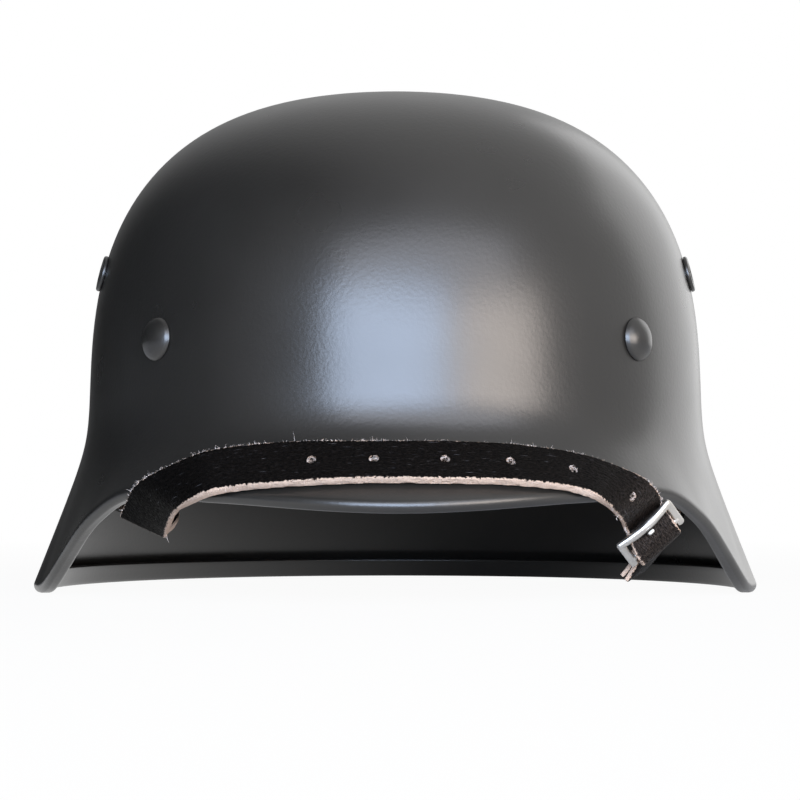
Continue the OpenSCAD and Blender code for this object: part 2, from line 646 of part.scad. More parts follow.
// A strap: a flat band of leather along stations, each with the upper and the lower edge of its
// outer face and its thickness
function upper(s) = [s[0], s[1], s[2]];
function lower(s) = [s[3], s[4], s[5]];
function middle(s) = (upper(s) + lower(s)) / 2;
function strap_run(line, i) = unit(middle(line[min(i + 1, len(line) - 1)])
    - middle(line[max(i - 1, 0)]));
function strap_out(line, i) = unit(cross(lower(line[i]) - upper(line[i]), strap_run(line, i)));
module strap(line) {
    n = len(line);
    points = [for (i = [0 : n - 1]) let (in = -line[i][6] * strap_out(line, i))
        each [upper(line[i]) + in, lower(line[i]) + in, lower(line[i]), upper(line[i])]];
    faces = concat([[3, 2, 1, 0], [for (k = [0 : 3]) (n - 1) * 4 + k]],
        [for (i = [0 : n - 2], k = [0 : 3]) let (
            a = i * 4 + k, b = i * 4 + (k + 1) % 4)
            each [[a, b, b + 4], [a, b + 4, a + 4]]]);
    polyhedron(points, faces, convexity = 6);
}
// Puts children at a place along a strap's line, with +Z out of its outer face
module on_strap(line, place) {
    i = floor(place);
    at = middle(line[i]) * (1 - place + i) + middle(line[i + 1]) * (place - i);
    run = unit(middle(line[i + 1]) - middle(line[i]));
    out = unit(cross(lower(line[i]) - upper(line[i]), run));
    up = cross(out, run);
    multmatrix([[run.x, up.x, out.x, at.x], [run.y, up.y, out.y, at.y],
        [run.z, up.z, out.z, at.z]]) children();
}

// Places near the rim: outwards from the rolled edge and up from the rim's lowest line
function by_rim(azimuth, out, up) = polar(azimuth, edge_r(azimuth) + out, rim_z(azimuth) + up);

// Half of the space between the buckle's sides, in which the strap lies a little aside
side_play = 0.6;
buckle_half = strap_w / 2 + side_play;
strap_aside = 0.25;

// The buckle's frame of reference: its rear bar lies along across_b, and the strap runs along
// run_b from the front bar to the rear bar, with out_b away from the helmet
buckle_at = by_rim(41.8, -2.3, -11.9);
run_b = unit([0.416, 0.777, -0.473]);
across_b = square_to([-0.745, -0.007, -0.667], run_b);
out_b = cross(across_b, run_b);
function by_buckle(along, out) = buckle_at + along * run_b + out * out_b;
function in_buckle(along, out, thickness) = let (
    p = by_buckle(along, out) - strap_aside * across_b)
    concat(p - across_b * strap_w / 2, p + across_b * strap_w / 2, thickness);
module on_buckle() {
    multmatrix([[across_b.x, run_b.x, out_b.x, buckle_at.x],
        [across_b.y, run_b.y, out_b.y, buckle_at.y],
        [across_b.z, run_b.z, out_b.z, buckle_at.z]]) children();
}

// The strap's line over the visor: azimuth, height above the visor's edge and extra lift of its
// upper edge, then the azimuth and height of its lower edge
visor_line = [[-28.3, 12.3, 4.4, -23.8, 4.5], [-24.5, 15.1, 3.2, -21, 5.5],
    [-19.8, 17.1, 1.9, -17.2, 6.5], [-13.8, 18.5, 0.9, -12.1, 7.3], [-6.9, 19.1, 0, -6.2, 7.7],
    [0, 19.1, 0, 0, 7.8], [6.7, 19.1, 0, 6, 7.7], [14.9, 18.5, 0, 13.4, 7.4],
    [19.1, 17.7, 0, 16.8, 6.9], [23.6, 16.4, 0.3, 20.3, 6.3], [27.9, 14.4, 0.6, 23.6, 5.5],
    [31.1, 11.4, 1.5, 26.2, 3.8]];
function off_visor(azimuth, above, lift) = wall_at(azimuth, visor_z + above)
    + (strap_lift + strap_t + lift) * wall_out(azimuth, visor_z + above);
// The strap's corners beside the rim: azimuth, out and up of the upper edge, then of the lower
left_corner = [[-44.8, 1.5, -4.8, -38.5, -6.8, -11.8], [-42, 3.6, -0.9, -36.3, -3.6, -9.9],
    [-39.2, 5.5, 3.3, -34, 0.2, -7.3], [-35.5, 5.4, 7.4, -31.2, 3, -3.4]];
right_corner = [[35.2, 4.2, 6.9, 29.4, 3.8, 0], [38, 5, 2.9, 32.6, 1.1, -5.4]];
function at_corner(c) = concat(by_rim(c[0], c[1], c[2]), by_rim(c[3], c[4], c[5]), strap_t);
// Layers at the rear bar: the short strap's loop lies on the bar, the long strap on the loop
over_rear = buckle_rear_r + loop_gap + loop_t + lie_gap + strap_tip_t;
under_front = -(buckle_bar_h / 2 + lie_gap);
stub_turn = 39;
stub_length = 8;
side_step = loop_t + 0.1 + lie_gap + strap_tip_t;
function along_stub(s, out) = let (
    p = by_buckle(s * cos(stub_turn) + out * sin(stub_turn),
        -s * sin(stub_turn) + out * cos(stub_turn)))
    concat(p - across_b * strap_w / 2, p + across_b * strap_w / 2, strap_tip_t);
front_line = concat(
    [for (c = left_corner) at_corner(c)],
    [for (v = visor_line) concat(off_visor(v[0], v[1], v[2]), off_visor(v[3], v[4], 0), strap_t)],
    [for (c = right_corner) at_corner(c)],
    [in_buckle(-buckle_pitch - 2, under_front, strap_t * 0.8),
    in_buckle(-buckle_pitch + 0.6, under_front, strap_tip_t),
    in_buckle(-buckle_pitch + 3, 1.2, strap_tip_t),
    in_buckle(-buckle_pitch + 5.6, 3.6, strap_tip_t),
    in_buckle(-1.2, over_rear - 0.1, strap_tip_t),
    in_buckle(over_rear * sin(18), over_rear * cos(18), strap_tip_t),
    along_stub(over_rear * 0.2, over_rear * 0.98),
    along_stub(over_rear * 0.8, side_step + 0.9),
    along_stub(stub_length - 1, side_step)]);
front_steps = through(front_line, 3);
// Places of the holes along the strap, and the bore that the tongue passes through
hole_places = [21.5, 25.5, 29.9, 33.6, 40.8, 49.3];
tongue_hole_w = 3.2;
tongue_hole_h = 3.5;
module chinstrap_front() {
    color(black_leather) difference() {
        strap(front_steps);
        for (place = hole_places) on_strap(front_steps, place)
            translate([0, 0, -strap_t - 0.7]) cylinder(h = strap_t + 1.7, r = strap_hole_r, $fn = 24);
        on_buckle() translate([0, -buckle_pitch + 3.2, 1.3])
            cube([tongue_hole_w, 5.4, tongue_hole_h], center = true);
    }
}

// The inner runs of the strap, from each bale's loop to the fold and to the buckle
function bale_point(side, up, out) = let (
    at = oval(side * bale_azimuth, bracket_inset), n = oval_out(side * bale_azimuth, bracket_inset))
    [at.x + n.x * out, at.y + n.y * out, knuckle_z + up];
loop_end = -bale_drop - loop_drop;
function bale_run(side) = let (n = oval_out(side * bale_azimuth, bracket_inset))
    [-n.y, n.x, 0];
function tail(side, start, start_run, start_across) = let (
    end = bale_point(side, loop_end - 0.6, strap_t / 2), end_across = side * bale_run(side),
    p = [start, start + start_run, end + [-side * 2, -9, -11], end])
    [for (i = [0 : 14]) let (u = i / 14, s = 3 * u ^ 2 - 2 * u ^ 3,
        mid = bezier(p, u), a = unit(start_across * (1 - s) - end_across * s) * strap_w / 2)
        concat(mid - a, mid + a, strap_t)];
module strap_tail_left() {
    fold = left_corner[0];
    start = middle(at_corner(fold));
    across = unit(lower(at_corner(fold)) - upper(at_corner(fold)));
    color(black_leather) strap(tail(-1, start + [0.8, 3.2, 1.8], [2, 18, 4], across));
}
module strap_tail_right() {
    start = middle(along_stub(stub_length + 0.6, strap_t / 2));
    color(black_leather) strap(tail(1, start, [-1.5, 9, -3.5], across_b));
}

// The short strap's loop round the buckle's rear bar, slotted in the middle for the tongue
module buckle_loop() {
    color(black_leather) on_buckle() difference() {
        rotate([0, 90, 0]) rotate([0, 0, 90]) linear_extrude(strap_w, center = true)
            rotate([0, 0, 90 - stub_turn]) loop_shape(buckle_rear_r, stub_length, loop_t);
        translate([0, -1, 0]) cube([tongue_w + 2 * lie_gap, 7.6, 12], center = true);
    }
}

// The buckle: flat sides, a rounded front bar that bulges outwards, and a round rear bar
buckle_tail = 2.6;
module buckle_frame() {
    half = buckle_half + buckle_side;
    color(alloy) on_buckle() union() {
        rotate([0, 90, 0]) cylinder(h = 2 * buckle_half + 2, r = buckle_rear_r, center = true,
            $fn = 32);
        translate([0, -buckle_pitch, 0]) rotate([0, 90, 0]) rotate([0, 0, 90])
            linear_extrude(2 * half - 1.6, center = true)
                resize([buckle_bar_w, buckle_bar_h]) circle(r = buckle_bar_h / 2, $fn = 32);
        for (x = [-1, 1]) translate([x * (buckle_half + buckle_side / 2),
            (buckle_tail - buckle_pitch) / 2, 0]) linear_extrude(buckle_t, center = true)
            offset(r = 0.9, $fn = 24) square(
                [buckle_side - 1.8, buckle_pitch + buckle_tail - 0.6], center = true);
    }
}

// The tongue: an eye round the rear bar and a bar that comes through the strap's hole and rests
// against the front bar
module buckle_tongue() {
    eye = buckle_rear_r + run_gap;
    rest = buckle_bar_h / 2;
    ends = -buckle_pitch + buckle_bar_w / 2;
    color(alloy) on_buckle() rotate([0, 90, 0]) rotate([0, 0, 90]) difference() {
        union() {
            cylinder(h = tongue_w, r = eye + tongue_eye, center = true, $fn = 40);
            linear_extrude(tongue_w, center = true) polygon([
                [-eye - 0.3, -0.75], [ends + 2.2, -0.1], [ends - 0.4, rest + 0.1],
                [ends - 0.9, rest + 0.5], [ends - 0.7, rest + tongue_t],
                [ends + 0.3, rest + tongue_t], [ends + 2.6, tongue_t - 0.4],
                [-eye - 0.3, tongue_t - 0.4]]);
        }
        cylinder(h = tongue_w + 2, r = eye, center = true, $fn = 40);
    }
}

module placed() {
    translate([0, origin_shift, 0]) children();
}
placed() shell();
placed() vent_bushing(-1);  // vent_bushing_left
placed() vent_bushing(1);  // vent_bushing_right
placed() vent_washer(-1);  // vent_washer_left
placed() vent_washer(1);  // vent_washer_right
placed() liner_pin(pin_spots[0]);  // liner_pin_front_left
placed() liner_pin(pin_spots[1]);  // liner_pin_front_right
placed() liner_pin(pin_spots[2]);  // liner_pin_rear
placed() pin_washers();
placed() outer_band();
placed() inner_band();
placed() leaf_springs();
placed() spring_rivets();
placed() felt_pad();
placed() liner_leather();
placed() drawstring();
placed() leather_rivets();
placed() bale_bracket(-1);  // bale_bracket_left
placed() bale_bracket(1);  // bale_bracket_right
placed() bracket_rivets();
placed() bale(-1);  // bale_left
placed() bale(1);  // bale_right
placed() strap_loop(-1);  // strap_loop_left
placed() strap_loop(1);  // strap_loop_right
placed() strap_stud(-1);  // strap_stud_left
placed() strap_stud(1);  // strap_stud_right
placed() strap_tail_left();
placed() strap_tail_right();
placed() chinstrap_front();
placed() buckle_loop();
placed() buckle_frame();
placed() buckle_tongue();
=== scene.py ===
# Pressed steel helmet: surfaces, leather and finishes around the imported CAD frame
import math
import bmesh
import bpy
import numpy as np
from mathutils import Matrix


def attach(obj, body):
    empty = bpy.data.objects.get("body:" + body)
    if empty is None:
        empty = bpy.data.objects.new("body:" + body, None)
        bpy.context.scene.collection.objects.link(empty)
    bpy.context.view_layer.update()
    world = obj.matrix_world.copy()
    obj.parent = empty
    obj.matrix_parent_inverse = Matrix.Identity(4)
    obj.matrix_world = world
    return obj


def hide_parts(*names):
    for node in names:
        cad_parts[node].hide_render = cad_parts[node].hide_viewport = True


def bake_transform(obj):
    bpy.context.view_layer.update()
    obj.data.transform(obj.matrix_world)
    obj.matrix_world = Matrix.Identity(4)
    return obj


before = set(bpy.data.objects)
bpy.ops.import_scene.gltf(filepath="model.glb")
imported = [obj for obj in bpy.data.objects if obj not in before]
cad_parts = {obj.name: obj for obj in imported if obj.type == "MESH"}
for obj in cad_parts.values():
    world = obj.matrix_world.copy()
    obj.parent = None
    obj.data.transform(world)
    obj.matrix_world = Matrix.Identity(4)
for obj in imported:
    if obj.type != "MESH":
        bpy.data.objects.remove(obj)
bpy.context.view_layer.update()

print("frame loaded")

# shapes are worked out in mm in the source's own frame, and addPiece takes them into metres
shift = np.array([0.0, -5.5, 0.0])  # the source moves everything by this, in mm
sideName = {-1: "Left", 1: "Right"}


def toLinear(hexCode):
    # sRGB to linear: a channel c becomes ((c + 0.055) / 1.055) to the power 2.4
    channels = [int(hexCode[i:i + 2], 16) / 255 for i in (1, 3, 5)]
    return [((c + 0.055) / 1.055) ** 2.4 if c > 0.04045 else c / 12.92 for c in channels] + [1.0]


def addNode(tree, kind, inputs=None, **settings):
    node = tree.nodes.new("ShaderNode" + kind)
    for key, value in settings.items():
        setattr(node, key, value)
    for key, value in (inputs or {}).items():
        if isinstance(value, bpy.types.NodeSocket):
            tree.links.new(value, node.inputs[key])
        else:
            node.inputs[key].default_value = value
    return node


def calculate(tree, operation, *values):
    return addNode(tree, "Math", dict(enumerate(values)), operation=operation).outputs[0]


def coordinates(tree, kind="Object"):
    return addNode(tree, "TexCoord").outputs[kind]


def spread(tree, value, low, high, least=0.0, most=1.0, **settings):
    # goes from least to most while the value goes from low to high
    return addNode(tree, "MapRange", {"Value": value, "From Min": low, "From Max": high,
                                      "To Min": least, "To Max": most}, **settings).outputs[0]


def unit(v):
    return v / np.linalg.norm(v, axis=-1, keepdims=True)


def around(steps):
    return np.linspace(0, 2 * np.pi, steps, endpoint=False)


def outward(ahead):
    # the direction square to a section's way ahead, to its right
    return unit(np.stack([ahead[..., 1], -ahead[..., 0]], -1))


def eased(u):
    # a smooth step from 0 to 1: three times the square less twice the cube
    return 3 * u ** 2 - 2 * u ** 3


def roundedBox(left, low, right, high, radius, steps):
    # a rectangle with round corners, each from its first side to its second
    turn = np.linspace(0, np.pi / 2, steps)
    corners = ((right - radius, high - radius), (left + radius, high - radius),
               (left + radius, low + radius), (right - radius, low + radius))
    return np.concatenate([np.column_stack([x + radius * np.cos(turn + k * np.pi / 2),
                                            y + radius * np.sin(turn + k * np.pi / 2)])
                           for k, (x, y) in enumerate(corners)])


def gridFaces(rows, columns, wrapRows=False, wrapColumns=False):
    # cell (i, j) of a grid joins its four corners, and a wrapped grid joins last to first
    i, j = np.meshgrid(np.arange(rows - (not wrapRows)), np.arange(columns - (not wrapColumns)),
                       indexing="ij")
    i, j = i.ravel(), j.ravel()
    iNext, jNext = (i + 1) % rows, (j + 1) % columns
    return np.column_stack([i * columns + j, iNext * columns + j,
                            iNext * columns + jNext, i * columns + jNext])


def cappedGrid(rows, columns):
    # a grid that wraps its columns, like a tube, with one face over each end
    last = (rows - 1) * columns
    return gridFaces(rows, columns, False, True).tolist() + [
        list(range(columns)), list(range(last, last + columns))[::-1]]


def addPiece(name, points, faces, material, sharp=38, uv=None, attributes=None):
    # points in mm, faces as lists of corners, attributes as one value for each point
    mesh = bpy.data.meshes.new(name)
    points = np.asarray(points, float).reshape(-1, 3)
    mesh.from_pydata(((points + shift) * 0.001).tolist(), [],
                     faces.tolist() if hasattr(faces, "tolist") else faces)
    for key, values in (attributes or {}).items():
        mesh.attributes.new(key, "FLOAT", "POINT").data.foreach_set(
            "value", np.asarray(values, np.float32).ravel())
    if uv is not None:
        corner = np.empty(len(mesh.loops), np.int32)
        mesh.loops.foreach_get("vertex_index", corner)
        layer = mesh.uv_layers.new(name="UVMap")
        layer.data.foreach_set("uv", np.asarray(uv, np.float32).reshape(-1, 2)[corner].ravel())
    shape = bmesh.new()
    shape.from_mesh(mesh)
    bmesh.ops.remove_doubles(shape, verts=shape.verts, dist=1e-7)
    bmesh.ops.dissolve_degenerate(shape, edges=shape.edges, dist=1e-8)
    if shape.calc_volume(signed=True) < 0:
        bmesh.ops.reverse_faces(shape, faces=shape.faces)
    shape.to_mesh(mesh)
    shape.free()
    mesh.shade_smooth()
    mesh.set_sharp_from_angle(angle=math.radians(sharp))
    mesh.materials.append(material)
    piece = bpy.data.objects.new(name, mesh)
    bpy.context.scene.collection.objects.link(piece)
    return piece


def fitted(piece, body, node):
    # the piece rides on a body, stands for a node and has a material slot
    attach(piece, body)
    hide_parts(node)
    return piece


def settle(piece, sharp=None):
    # the live modifiers are worked into the mesh
    bpy.context.view_layer.update()
    graph = bpy.context.evaluated_depsgraph_get()
    mesh = bpy.data.meshes.new_from_object(piece.evaluated_get(graph))
    piece.modifiers.clear()
    piece.data = mesh
    if sharp is not None:
        mesh.shade_smooth()
        mesh.set_sharp_from_angle(angle=math.radians(sharp))


def cutAway(piece, cutters, sharp):
    # cuts every cutter's volume out of the piece
    for cutter in cutters:
        cut = piece.modifiers.new("cut", "BOOLEAN")
        cut.operation, cut.solver, cut.object = "DIFFERENCE", "EXACT", cutter
    settle(piece, sharp)
    for cutter in cutters:
        bpy.data.objects.remove(cutter)
    return piece


def onFrame(points, at, side, up, out):
    # puts points given along side, up and out at a place
    points = np.asarray(points, float)
    return at + points[..., :1] * side + points[..., 1:2] * up + points[..., 2:3] * out


def spun(profile, steps, closed=False):
    # a profile of (radius, height) turned round Z
    r, z = np.asarray(profile, float).T[:, None]
    turn = around(steps)[:, None]
    grid = np.stack([r * np.cos(turn), r * np.sin(turn), z + 0 * turn], -1)
    return grid.reshape(-1, 3), gridFaces(steps, len(profile), True, closed)


def rod(radius, low, high, steps):
    return spun([[0, low], [radius, low], [radius, high], [0, high]], steps)


def joined(parts):
    # several (points, faces) pairs as one
    points, faces, start = [], [], 0
    for p, f in parts:
        points.append(np.asarray(p, float).reshape(-1, 3))
        faces += [[int(k) + start for k in face] for face in f]
        start += len(points[-1])
    return np.concatenate(points), faces


def tube(path, radius, sides, wrap=False, across=(0.31, 0.2, 0.93)):
    # a round section carried along a path of points, closed at the ends unless it wraps
    path = np.asarray(path, float)
    ahead = np.roll(path, -1, 0) - np.roll(path, 1, 0)
    if not wrap:
        ahead[0], ahead[-1] = path[1] - path[0], path[-1] - path[-2]
    ahead = unit(ahead)
    side = np.zeros_like(path)
    side[0] = np.cross(ahead[0], across)
    for k in range(1, len(path)):
        side[k] = side[k - 1]
        side[k] -= ahead[k] * (side[k] @ ahead[k])
        side[k] /= np.linalg.norm(side[k])
    side = unit(side - ahead * np.sum(side * ahead, 1)[:, None])
    other = np.cross(ahead, side)
    turn = around(sides)
    r = np.broadcast_to(np.asarray(radius, float), (len(path),))[:, None, None]
    grid = path[:, None] + r * (side[:, None] * np.cos(turn)[:, None]
                                + other[:, None] * np.sin(turn)[:, None])
    faces = gridFaces(len(path), sides, True, True) if wrap else cappedGrid(len(path), sides)
    return grid.reshape(-1, 3), faces


def through(rows, steps):
    # a smooth line through rows: each span is the cubic that leaves and meets its rows at the
    # slope between their neighbours
    rows = np.asarray(rows, float)
    a = rows[np.maximum(np.arange(len(rows) - 1) - 1, 0)]
    b, c = rows[:-1], rows[1:]
    d = rows[np.minimum(np.arange(len(rows) - 1) + 2, len(rows) - 1)]
    u = (np.arange(steps) / steps)[None, :, None]
    a, b, c, d = (x[:, None] for x in (a, b, c, d))
    line = 0.5 * (2 * b + (c - a) * u + (2 * a - 5 * b + 4 * c - d) * u ** 2
                  + (3 * b - a - 3 * c + d) * u ** 3)
    return np.concatenate([line.reshape(-1, rows.shape[1]), rows[-1:]])


def goneAlong(path):
    # the length of the path up to each of its points
    return np.concatenate([[0], np.cumsum(np.linalg.norm(np.diff(path, axis=0), axis=1))])


# the camera has the photo's distance, height and lens
photoView = {"distance": 0.9055, "height": 0.036, "lens": 121.5, "sensor": 36.0,
             "azimuth": -0.46, "up": 1.74, "right": 0.1}


def addCamera():
    view = photoView
    data = bpy.data.cameras.new("camera")
    data.lens, data.sensor_width = view["lens"], view["sensor"]
    camera = bpy.data.objects.new("camera", data)
    turned = math.radians(view["azimuth"])
    camera.location = (view["distance"] * math.sin(turned),
                       -view["distance"] * math.cos(turned), view["height"])
    camera.rotation_euler = (math.radians(90 + view["up"]), 0,
                             turned - math.radians(view["right"]))
    bpy.context.scene.collection.objects.link(camera)
    bpy.context.scene.camera = camera


addCamera()
print("camera placed")

# two soft boxes in front and one above, a white wall behind on the right, a pale floor
lamps = {
    "left": {"azimuth": -3.3, "elevation": 10.2, "size": (2.0, 1.13), "power": 94,
             "tint": "#cfe2ff", "far": 2.4},
    "right": {"azimuth": 38.3, "elevation": 9.0, "size": (1.42, 0.94), "power": 37.5,
              "tint": "#fff3ea", "far": 2.4},
    "above": {"azimuth": 12, "elevation": 33, "size": (2.9, 0.75), "power": 22,
              "tint": "#f2f4ff", "far": 2.4},
    "wall": {"azimuth": 137, "elevation": 16, "size": (1.9, 1.9), "power": 12.5,
             "tint": "#ffffff", "far": 2.2}}
studio = {
    "aim": 0.08,                     # the height in metres that the lamps face
    "room": 0.05,                    # the room's light on matt surfaces
    "paleWay": (0.65, 0.45, 0.64),   # how much right, back and up count as the pale side
    "pale": (0.1, 0.85, 0.02, 0.74),   # where a shine turns pale, and its darkest and palest
    "front": (-0.1, -0.9, 0.0, 0.45),  # the same for its glow straight in front
    "horizon": (0.0, 0.15),          # where that glow starts and is full
    "middle": 0.04,                  # the line of the painted shadow in the floor's glow in a shine, in metres
    "inner": (0.005, 0.14, 0.06, 0.95),  # how the painted light of the floor's glow grows from that line
    "outer": (0.16, 0.3, 1.0, 0.25),     # and fades farther out
    "shadow": (0.2, 0.8, 0.95, 1.0),     # white share where the floor is seen, near to far
    "card": 6.0, "drop": 0.0002}     # half the floor's side, and how far it lies below


def addLight(name):
    facts = lamps[name]
    data = bpy.data.lights.new(name, "AREA")
    data.shape, data.energy = "RECTANGLE", facts["power"]
    data.size, data.size_y = facts["size"]
    data.color = toLinear(facts["tint"])[:3]
    lamp = bpy.data.objects.new(name, data)
    a, e = math.radians(facts["azimuth"]), math.radians(facts["elevation"])
    back = np.array([math.sin(a) * math.cos(e), -math.cos(a) * math.cos(e), math.sin(e)])
    lamp.location = back * facts["far"] + [0, 0, studio["aim"]]
    lamp.rotation_euler = (math.radians(90 - facts["elevation"]), 0, a)
    lamp.visible_camera = False
    bpy.context.scene.collection.objects.link(lamp)


def rayKinds(tree):
    # 1 for a ray that is seen directly, and 1 for one in a shine or through glass
    path = addNode(tree, "LightPath").outputs
    return path["Is Camera Ray"], calculate(tree, "MAXIMUM", path["Is Glossy Ray"],
                                            path["Is Transmission Ray"])


def addWorld():
    world = bpy.data.worlds.new("studio")
    bpy.context.scene.world = world
    world.use_nodes = True
    tree = world.node_tree
    tree.nodes.clear()
    # white where it is seen directly, and in a shine pale above, behind and on the right but
    # dark on the left, where the room is unlit: the pale share rises with a direction's weighted
    # sum of right, back and up
    seen, shine = rayKinds(tree)
    way = addNode(tree, "SeparateXYZ", {0: coordinates(tree, "Generated")})
    right, back, up = studio["paleWay"]
    pale = calculate(tree, "MULTIPLY", way.outputs[1], back)
    pale = calculate(tree, "MULTIPLY_ADD", way.outputs[0], right, pale)
    pale = calculate(tree, "MULTIPLY_ADD", way.outputs[2], up, pale)
    pale = spread(tree, pale, *studio["pale"], interpolation_type="SMOOTHSTEP")
    front = spread(tree, way.outputs[1], *studio["front"], interpolation_type="SMOOTHSTEP")
    above = spread(tree, way.outputs[2], *studio["horizon"])
    glow = calculate(tree, "MULTIPLY_ADD", front, above, pale)
    unseen = addNode(tree, "Mix", {0: shine, 2: studio["room"], 3: glow}, data_type="FLOAT")
    room = addNode(tree, "Background", {"Color": toLinear("#fdfdfd"),
                                        "Strength": unseen.outputs[0]})
    white = addNode(tree, "Background", {"Color": (1, 1, 1, 1), "Strength": 1.0})
    pick = addNode(tree, "MixShader", {0: seen, 1: room.outputs[0], 2: white.outputs[0]})
    addNode(tree, "OutputWorld", {"Surface": pick.outputs[0]})


def addFloor():
    # Pale paper card: matt, shown as its own plain white where it is seen, and in a shine as a
    # painted glow
    material = bpy.data.materials.new("paleFloorCard")
    material.use_nodes = True
    tree = material.node_tree
    tree.nodes.clear()
    seen, shine = rayKinds(tree)
    card = addNode(tree, "BsdfDiffuse", {"Color": toLinear("#ececec")})
    glow = addNode(tree, "Emission", {"Color": (1, 1, 1, 1), "Strength": 1.0})
    # in a shine the card glows with painted light and shade: a painted shadow under the middle of
    # the rim, painted light under both sides of it, and dim again farther out
    place = coordinates(tree)
    way = addNode(tree, "SeparateXYZ", {0: place})
    away = calculate(tree, "SUBTRACT", way.outputs[0], studio["middle"])
    away = calculate(tree, "ABSOLUTE", away)
    inner = spread(tree, away, *studio["inner"], interpolation_type="SMOOTHSTEP")
    paintedShineGlow = calculate(tree, "MULTIPLY", inner, spread(tree, away, *studio["outer"]))
    paintedShineGlow = calculate(tree, "MULTIPLY", shine, paintedShineGlow)
    # seen directly the card keeps a faint shadow near the helmet and is plain white far away
    far = addNode(tree, "VectorMath", {0: place}, operation="LENGTH").outputs["Value"]
    white = spread(tree, far, *studio["shadow"])
    share = calculate(tree, "MULTIPLY_ADD", seen, white, paintedShineGlow)
    pick = addNode(tree, "MixShader", {0: share, 1: card.outputs[0], 2: glow.outputs[0]})
    addNode(tree, "OutputMaterial", {"Surface": pick.outputs[0]})
    mesh = bpy.data.meshes.new("floor")
    half = studio["card"]
    mesh.from_pydata([(-half, -half, 0), (half, -half, 0), (half, half, 0), (-half, half, 0)],
                     [], [(0, 1, 2, 3)])
    mesh.materials.append(material)
    floor = bpy.data.objects.new("floor", mesh)
    floor.location.z = -studio["drop"]
    bpy.context.scene.collection.objects.link(floor)


for name in lamps:
    addLight(name)
addWorld()
addFloor()
bpy.context.scene.view_settings.view_transform = "Standard"
print("studio lit")


def newMaterial(name, colour, roughness, metallic=0.0, ior=1.5):
    material = bpy.data.materials.new(name)
    material.use_nodes = True
    shader = material.node_tree.nodes["Principled BSDF"]
    shader.inputs["Base Color"].default_value = toLinear(colour)
    shader.inputs["Roughness"].default_value = roughness
    shader.inputs["Metallic"].default_value = metallic
    if not metallic:
        shader.inputs["IOR"].default_value = ior
    return material, material.node_tree, shader


def feed(shader, sockets):
    for name, socket in sockets.items():
        shader.id_data.links.new(socket, shader.inputs[name])


def stretched(tree, vector, scale, turn=0.0):
    return addNode(tree, "Mapping", {"Vector": vector, "Rotation": (0, 0, turn),
                                     "Scale": scale}).outputs[0]


def noise(tree, vector, scale, detail=3.0, roughness=0.5):
    return addNode(tree, "TexNoise", {"Vector": vector, "Scale": scale, "Detail": detail,
                                      "Roughness": roughness}).outputs[0]


def pebbles(tree, vector, scale):
    return addNode(tree, "TexVoronoi", {"Vector": vector, "Scale": scale}).outputs["Distance"]


def mixed(tree, share, first, second):
    # a colour between two others, each a hex code or a socket
    first, second = (toLinear(c) if isinstance(c, str) else c for c in (first, second))
    return addNode(tree, "Mix", {0: share, 6: first, 7: second}, data_type="RGBA").outputs[2]


def dents(tree, height, strength, distance):
    return addNode(tree, "Bump", {"Height": height, "Strength": strength,
                                  "Distance": distance}).outputs[0]


def paintedSteel():
    # Satin stoving enamel on pressed steel: a dark neutral grey whose gloss is broken by a fine
    # orange peel of about 1.4 mm and the matting of the paint itself, finer than the eye sees
    material, tree, shader = newMaterial("satinEnamelOnSteel", "#21201d", 0.3, ior=1.6)
    at = coordinates(tree)
    peel, grit, cloud = noise(tree, at, 800, 2.0), noise(tree, at, 2600, 1.0), noise(tree, at, 26)
    height = calculate(tree, "MULTIPLY_ADD", grit, 0.22, peel)
    feed(shader, {"Base Color": mixed(tree, cloud, "#211f1c", "#262421"),
                  "Roughness": spread(tree, cloud, 0.3, 0.7, 0.27, 0.32),
                  "Normal": dents(tree, height, 0.065, 0.0006)})
    return material


def strapLeather():
    # Black pigment-finished cowhide: a pebbled grain of about 0.9 mm, a soft gloss, browned and
    # scuffed where it is bent, with a painted greyish-brown sheen on the same places, and pale
    # pink-tan fibres where the knife has cut it
    material, tree, shader = newMaterial("blackStrapLeather", "#0a0807", 0.5, ior=1.42)
    at, flat = coordinates(tree), coordinates(tree, "UV")
    along = stretched(tree, flat, (1.0, 5.0, 1.0))
    edge, wear = (addNode(tree, "Attribute", attribute_name=name).outputs["Fac"]
                  for name in ("edge", "wear"))
    fibre, crease = noise(tree, at, 3200), noise(tree, along, 0.24, 5.0, 0.62)
    # cut share: 1 on the cut edge, ragged by 0.4 mm where it meets the grain
    sway = spread(tree, noise(tree, at, 1150, 3.0, 0.7), 0.36, 0.64, -0.4, 0.4)
    cut = spread(tree, calculate(tree, "ADD", edge, sway), -0.06, 0.1)
    streak = spread(tree, noise(tree, along, 0.75, 4.0, 0.75), 0.42, 0.72)
    # the greyish-brown streaks are partly rubbed finish and partly a painted sheen, most of it on
    # the fold and near the buckle
    wornAndSheen = calculate(tree, "MULTIPLY", streak, wear)
    grain = mixed(tree, wornAndSheen, "#030303", "#4c4038")
    # a few pale scratches run slantwise along the strap, where its finish is torn
    scratch = noise(tree, stretched(tree, flat, (0.16, 2.6, 1.0), 0.22), 1.0, 3.0, 0.6)
    grain = mixed(tree, spread(tree, scratch, 0.66, 0.76, 0.0, 0.55), grain, "#8f8b8c")
    hide = mixed(tree, fibre, "#a98f7c", "#d2bdab")
    gloss = addNode(tree, "Mix", {0: cut, 2: spread(tree, crease, 0.3, 0.7, 0.34, 0.55),
                                  3: 0.92}, data_type="FLOAT")
    height = calculate(tree, "MULTIPLY_ADD", pebbles(tree, at, 1150), 0.3, crease)
    height = calculate(tree, "MULTIPLY_ADD", fibre, 0.25, height)
    # the finish is dull where it is whole and shines where it is rubbed
    feed(shader, {"Base Color": mixed(tree, cut, grain, hide), "Roughness": gloss.outputs[0],
                  "Specular IOR Level": spread(tree, wornAndSheen, 0.0, 1.0, 0.03, 0.5),
                  "Normal": dents(tree, height, 0.8, 0.0009)})
    return material


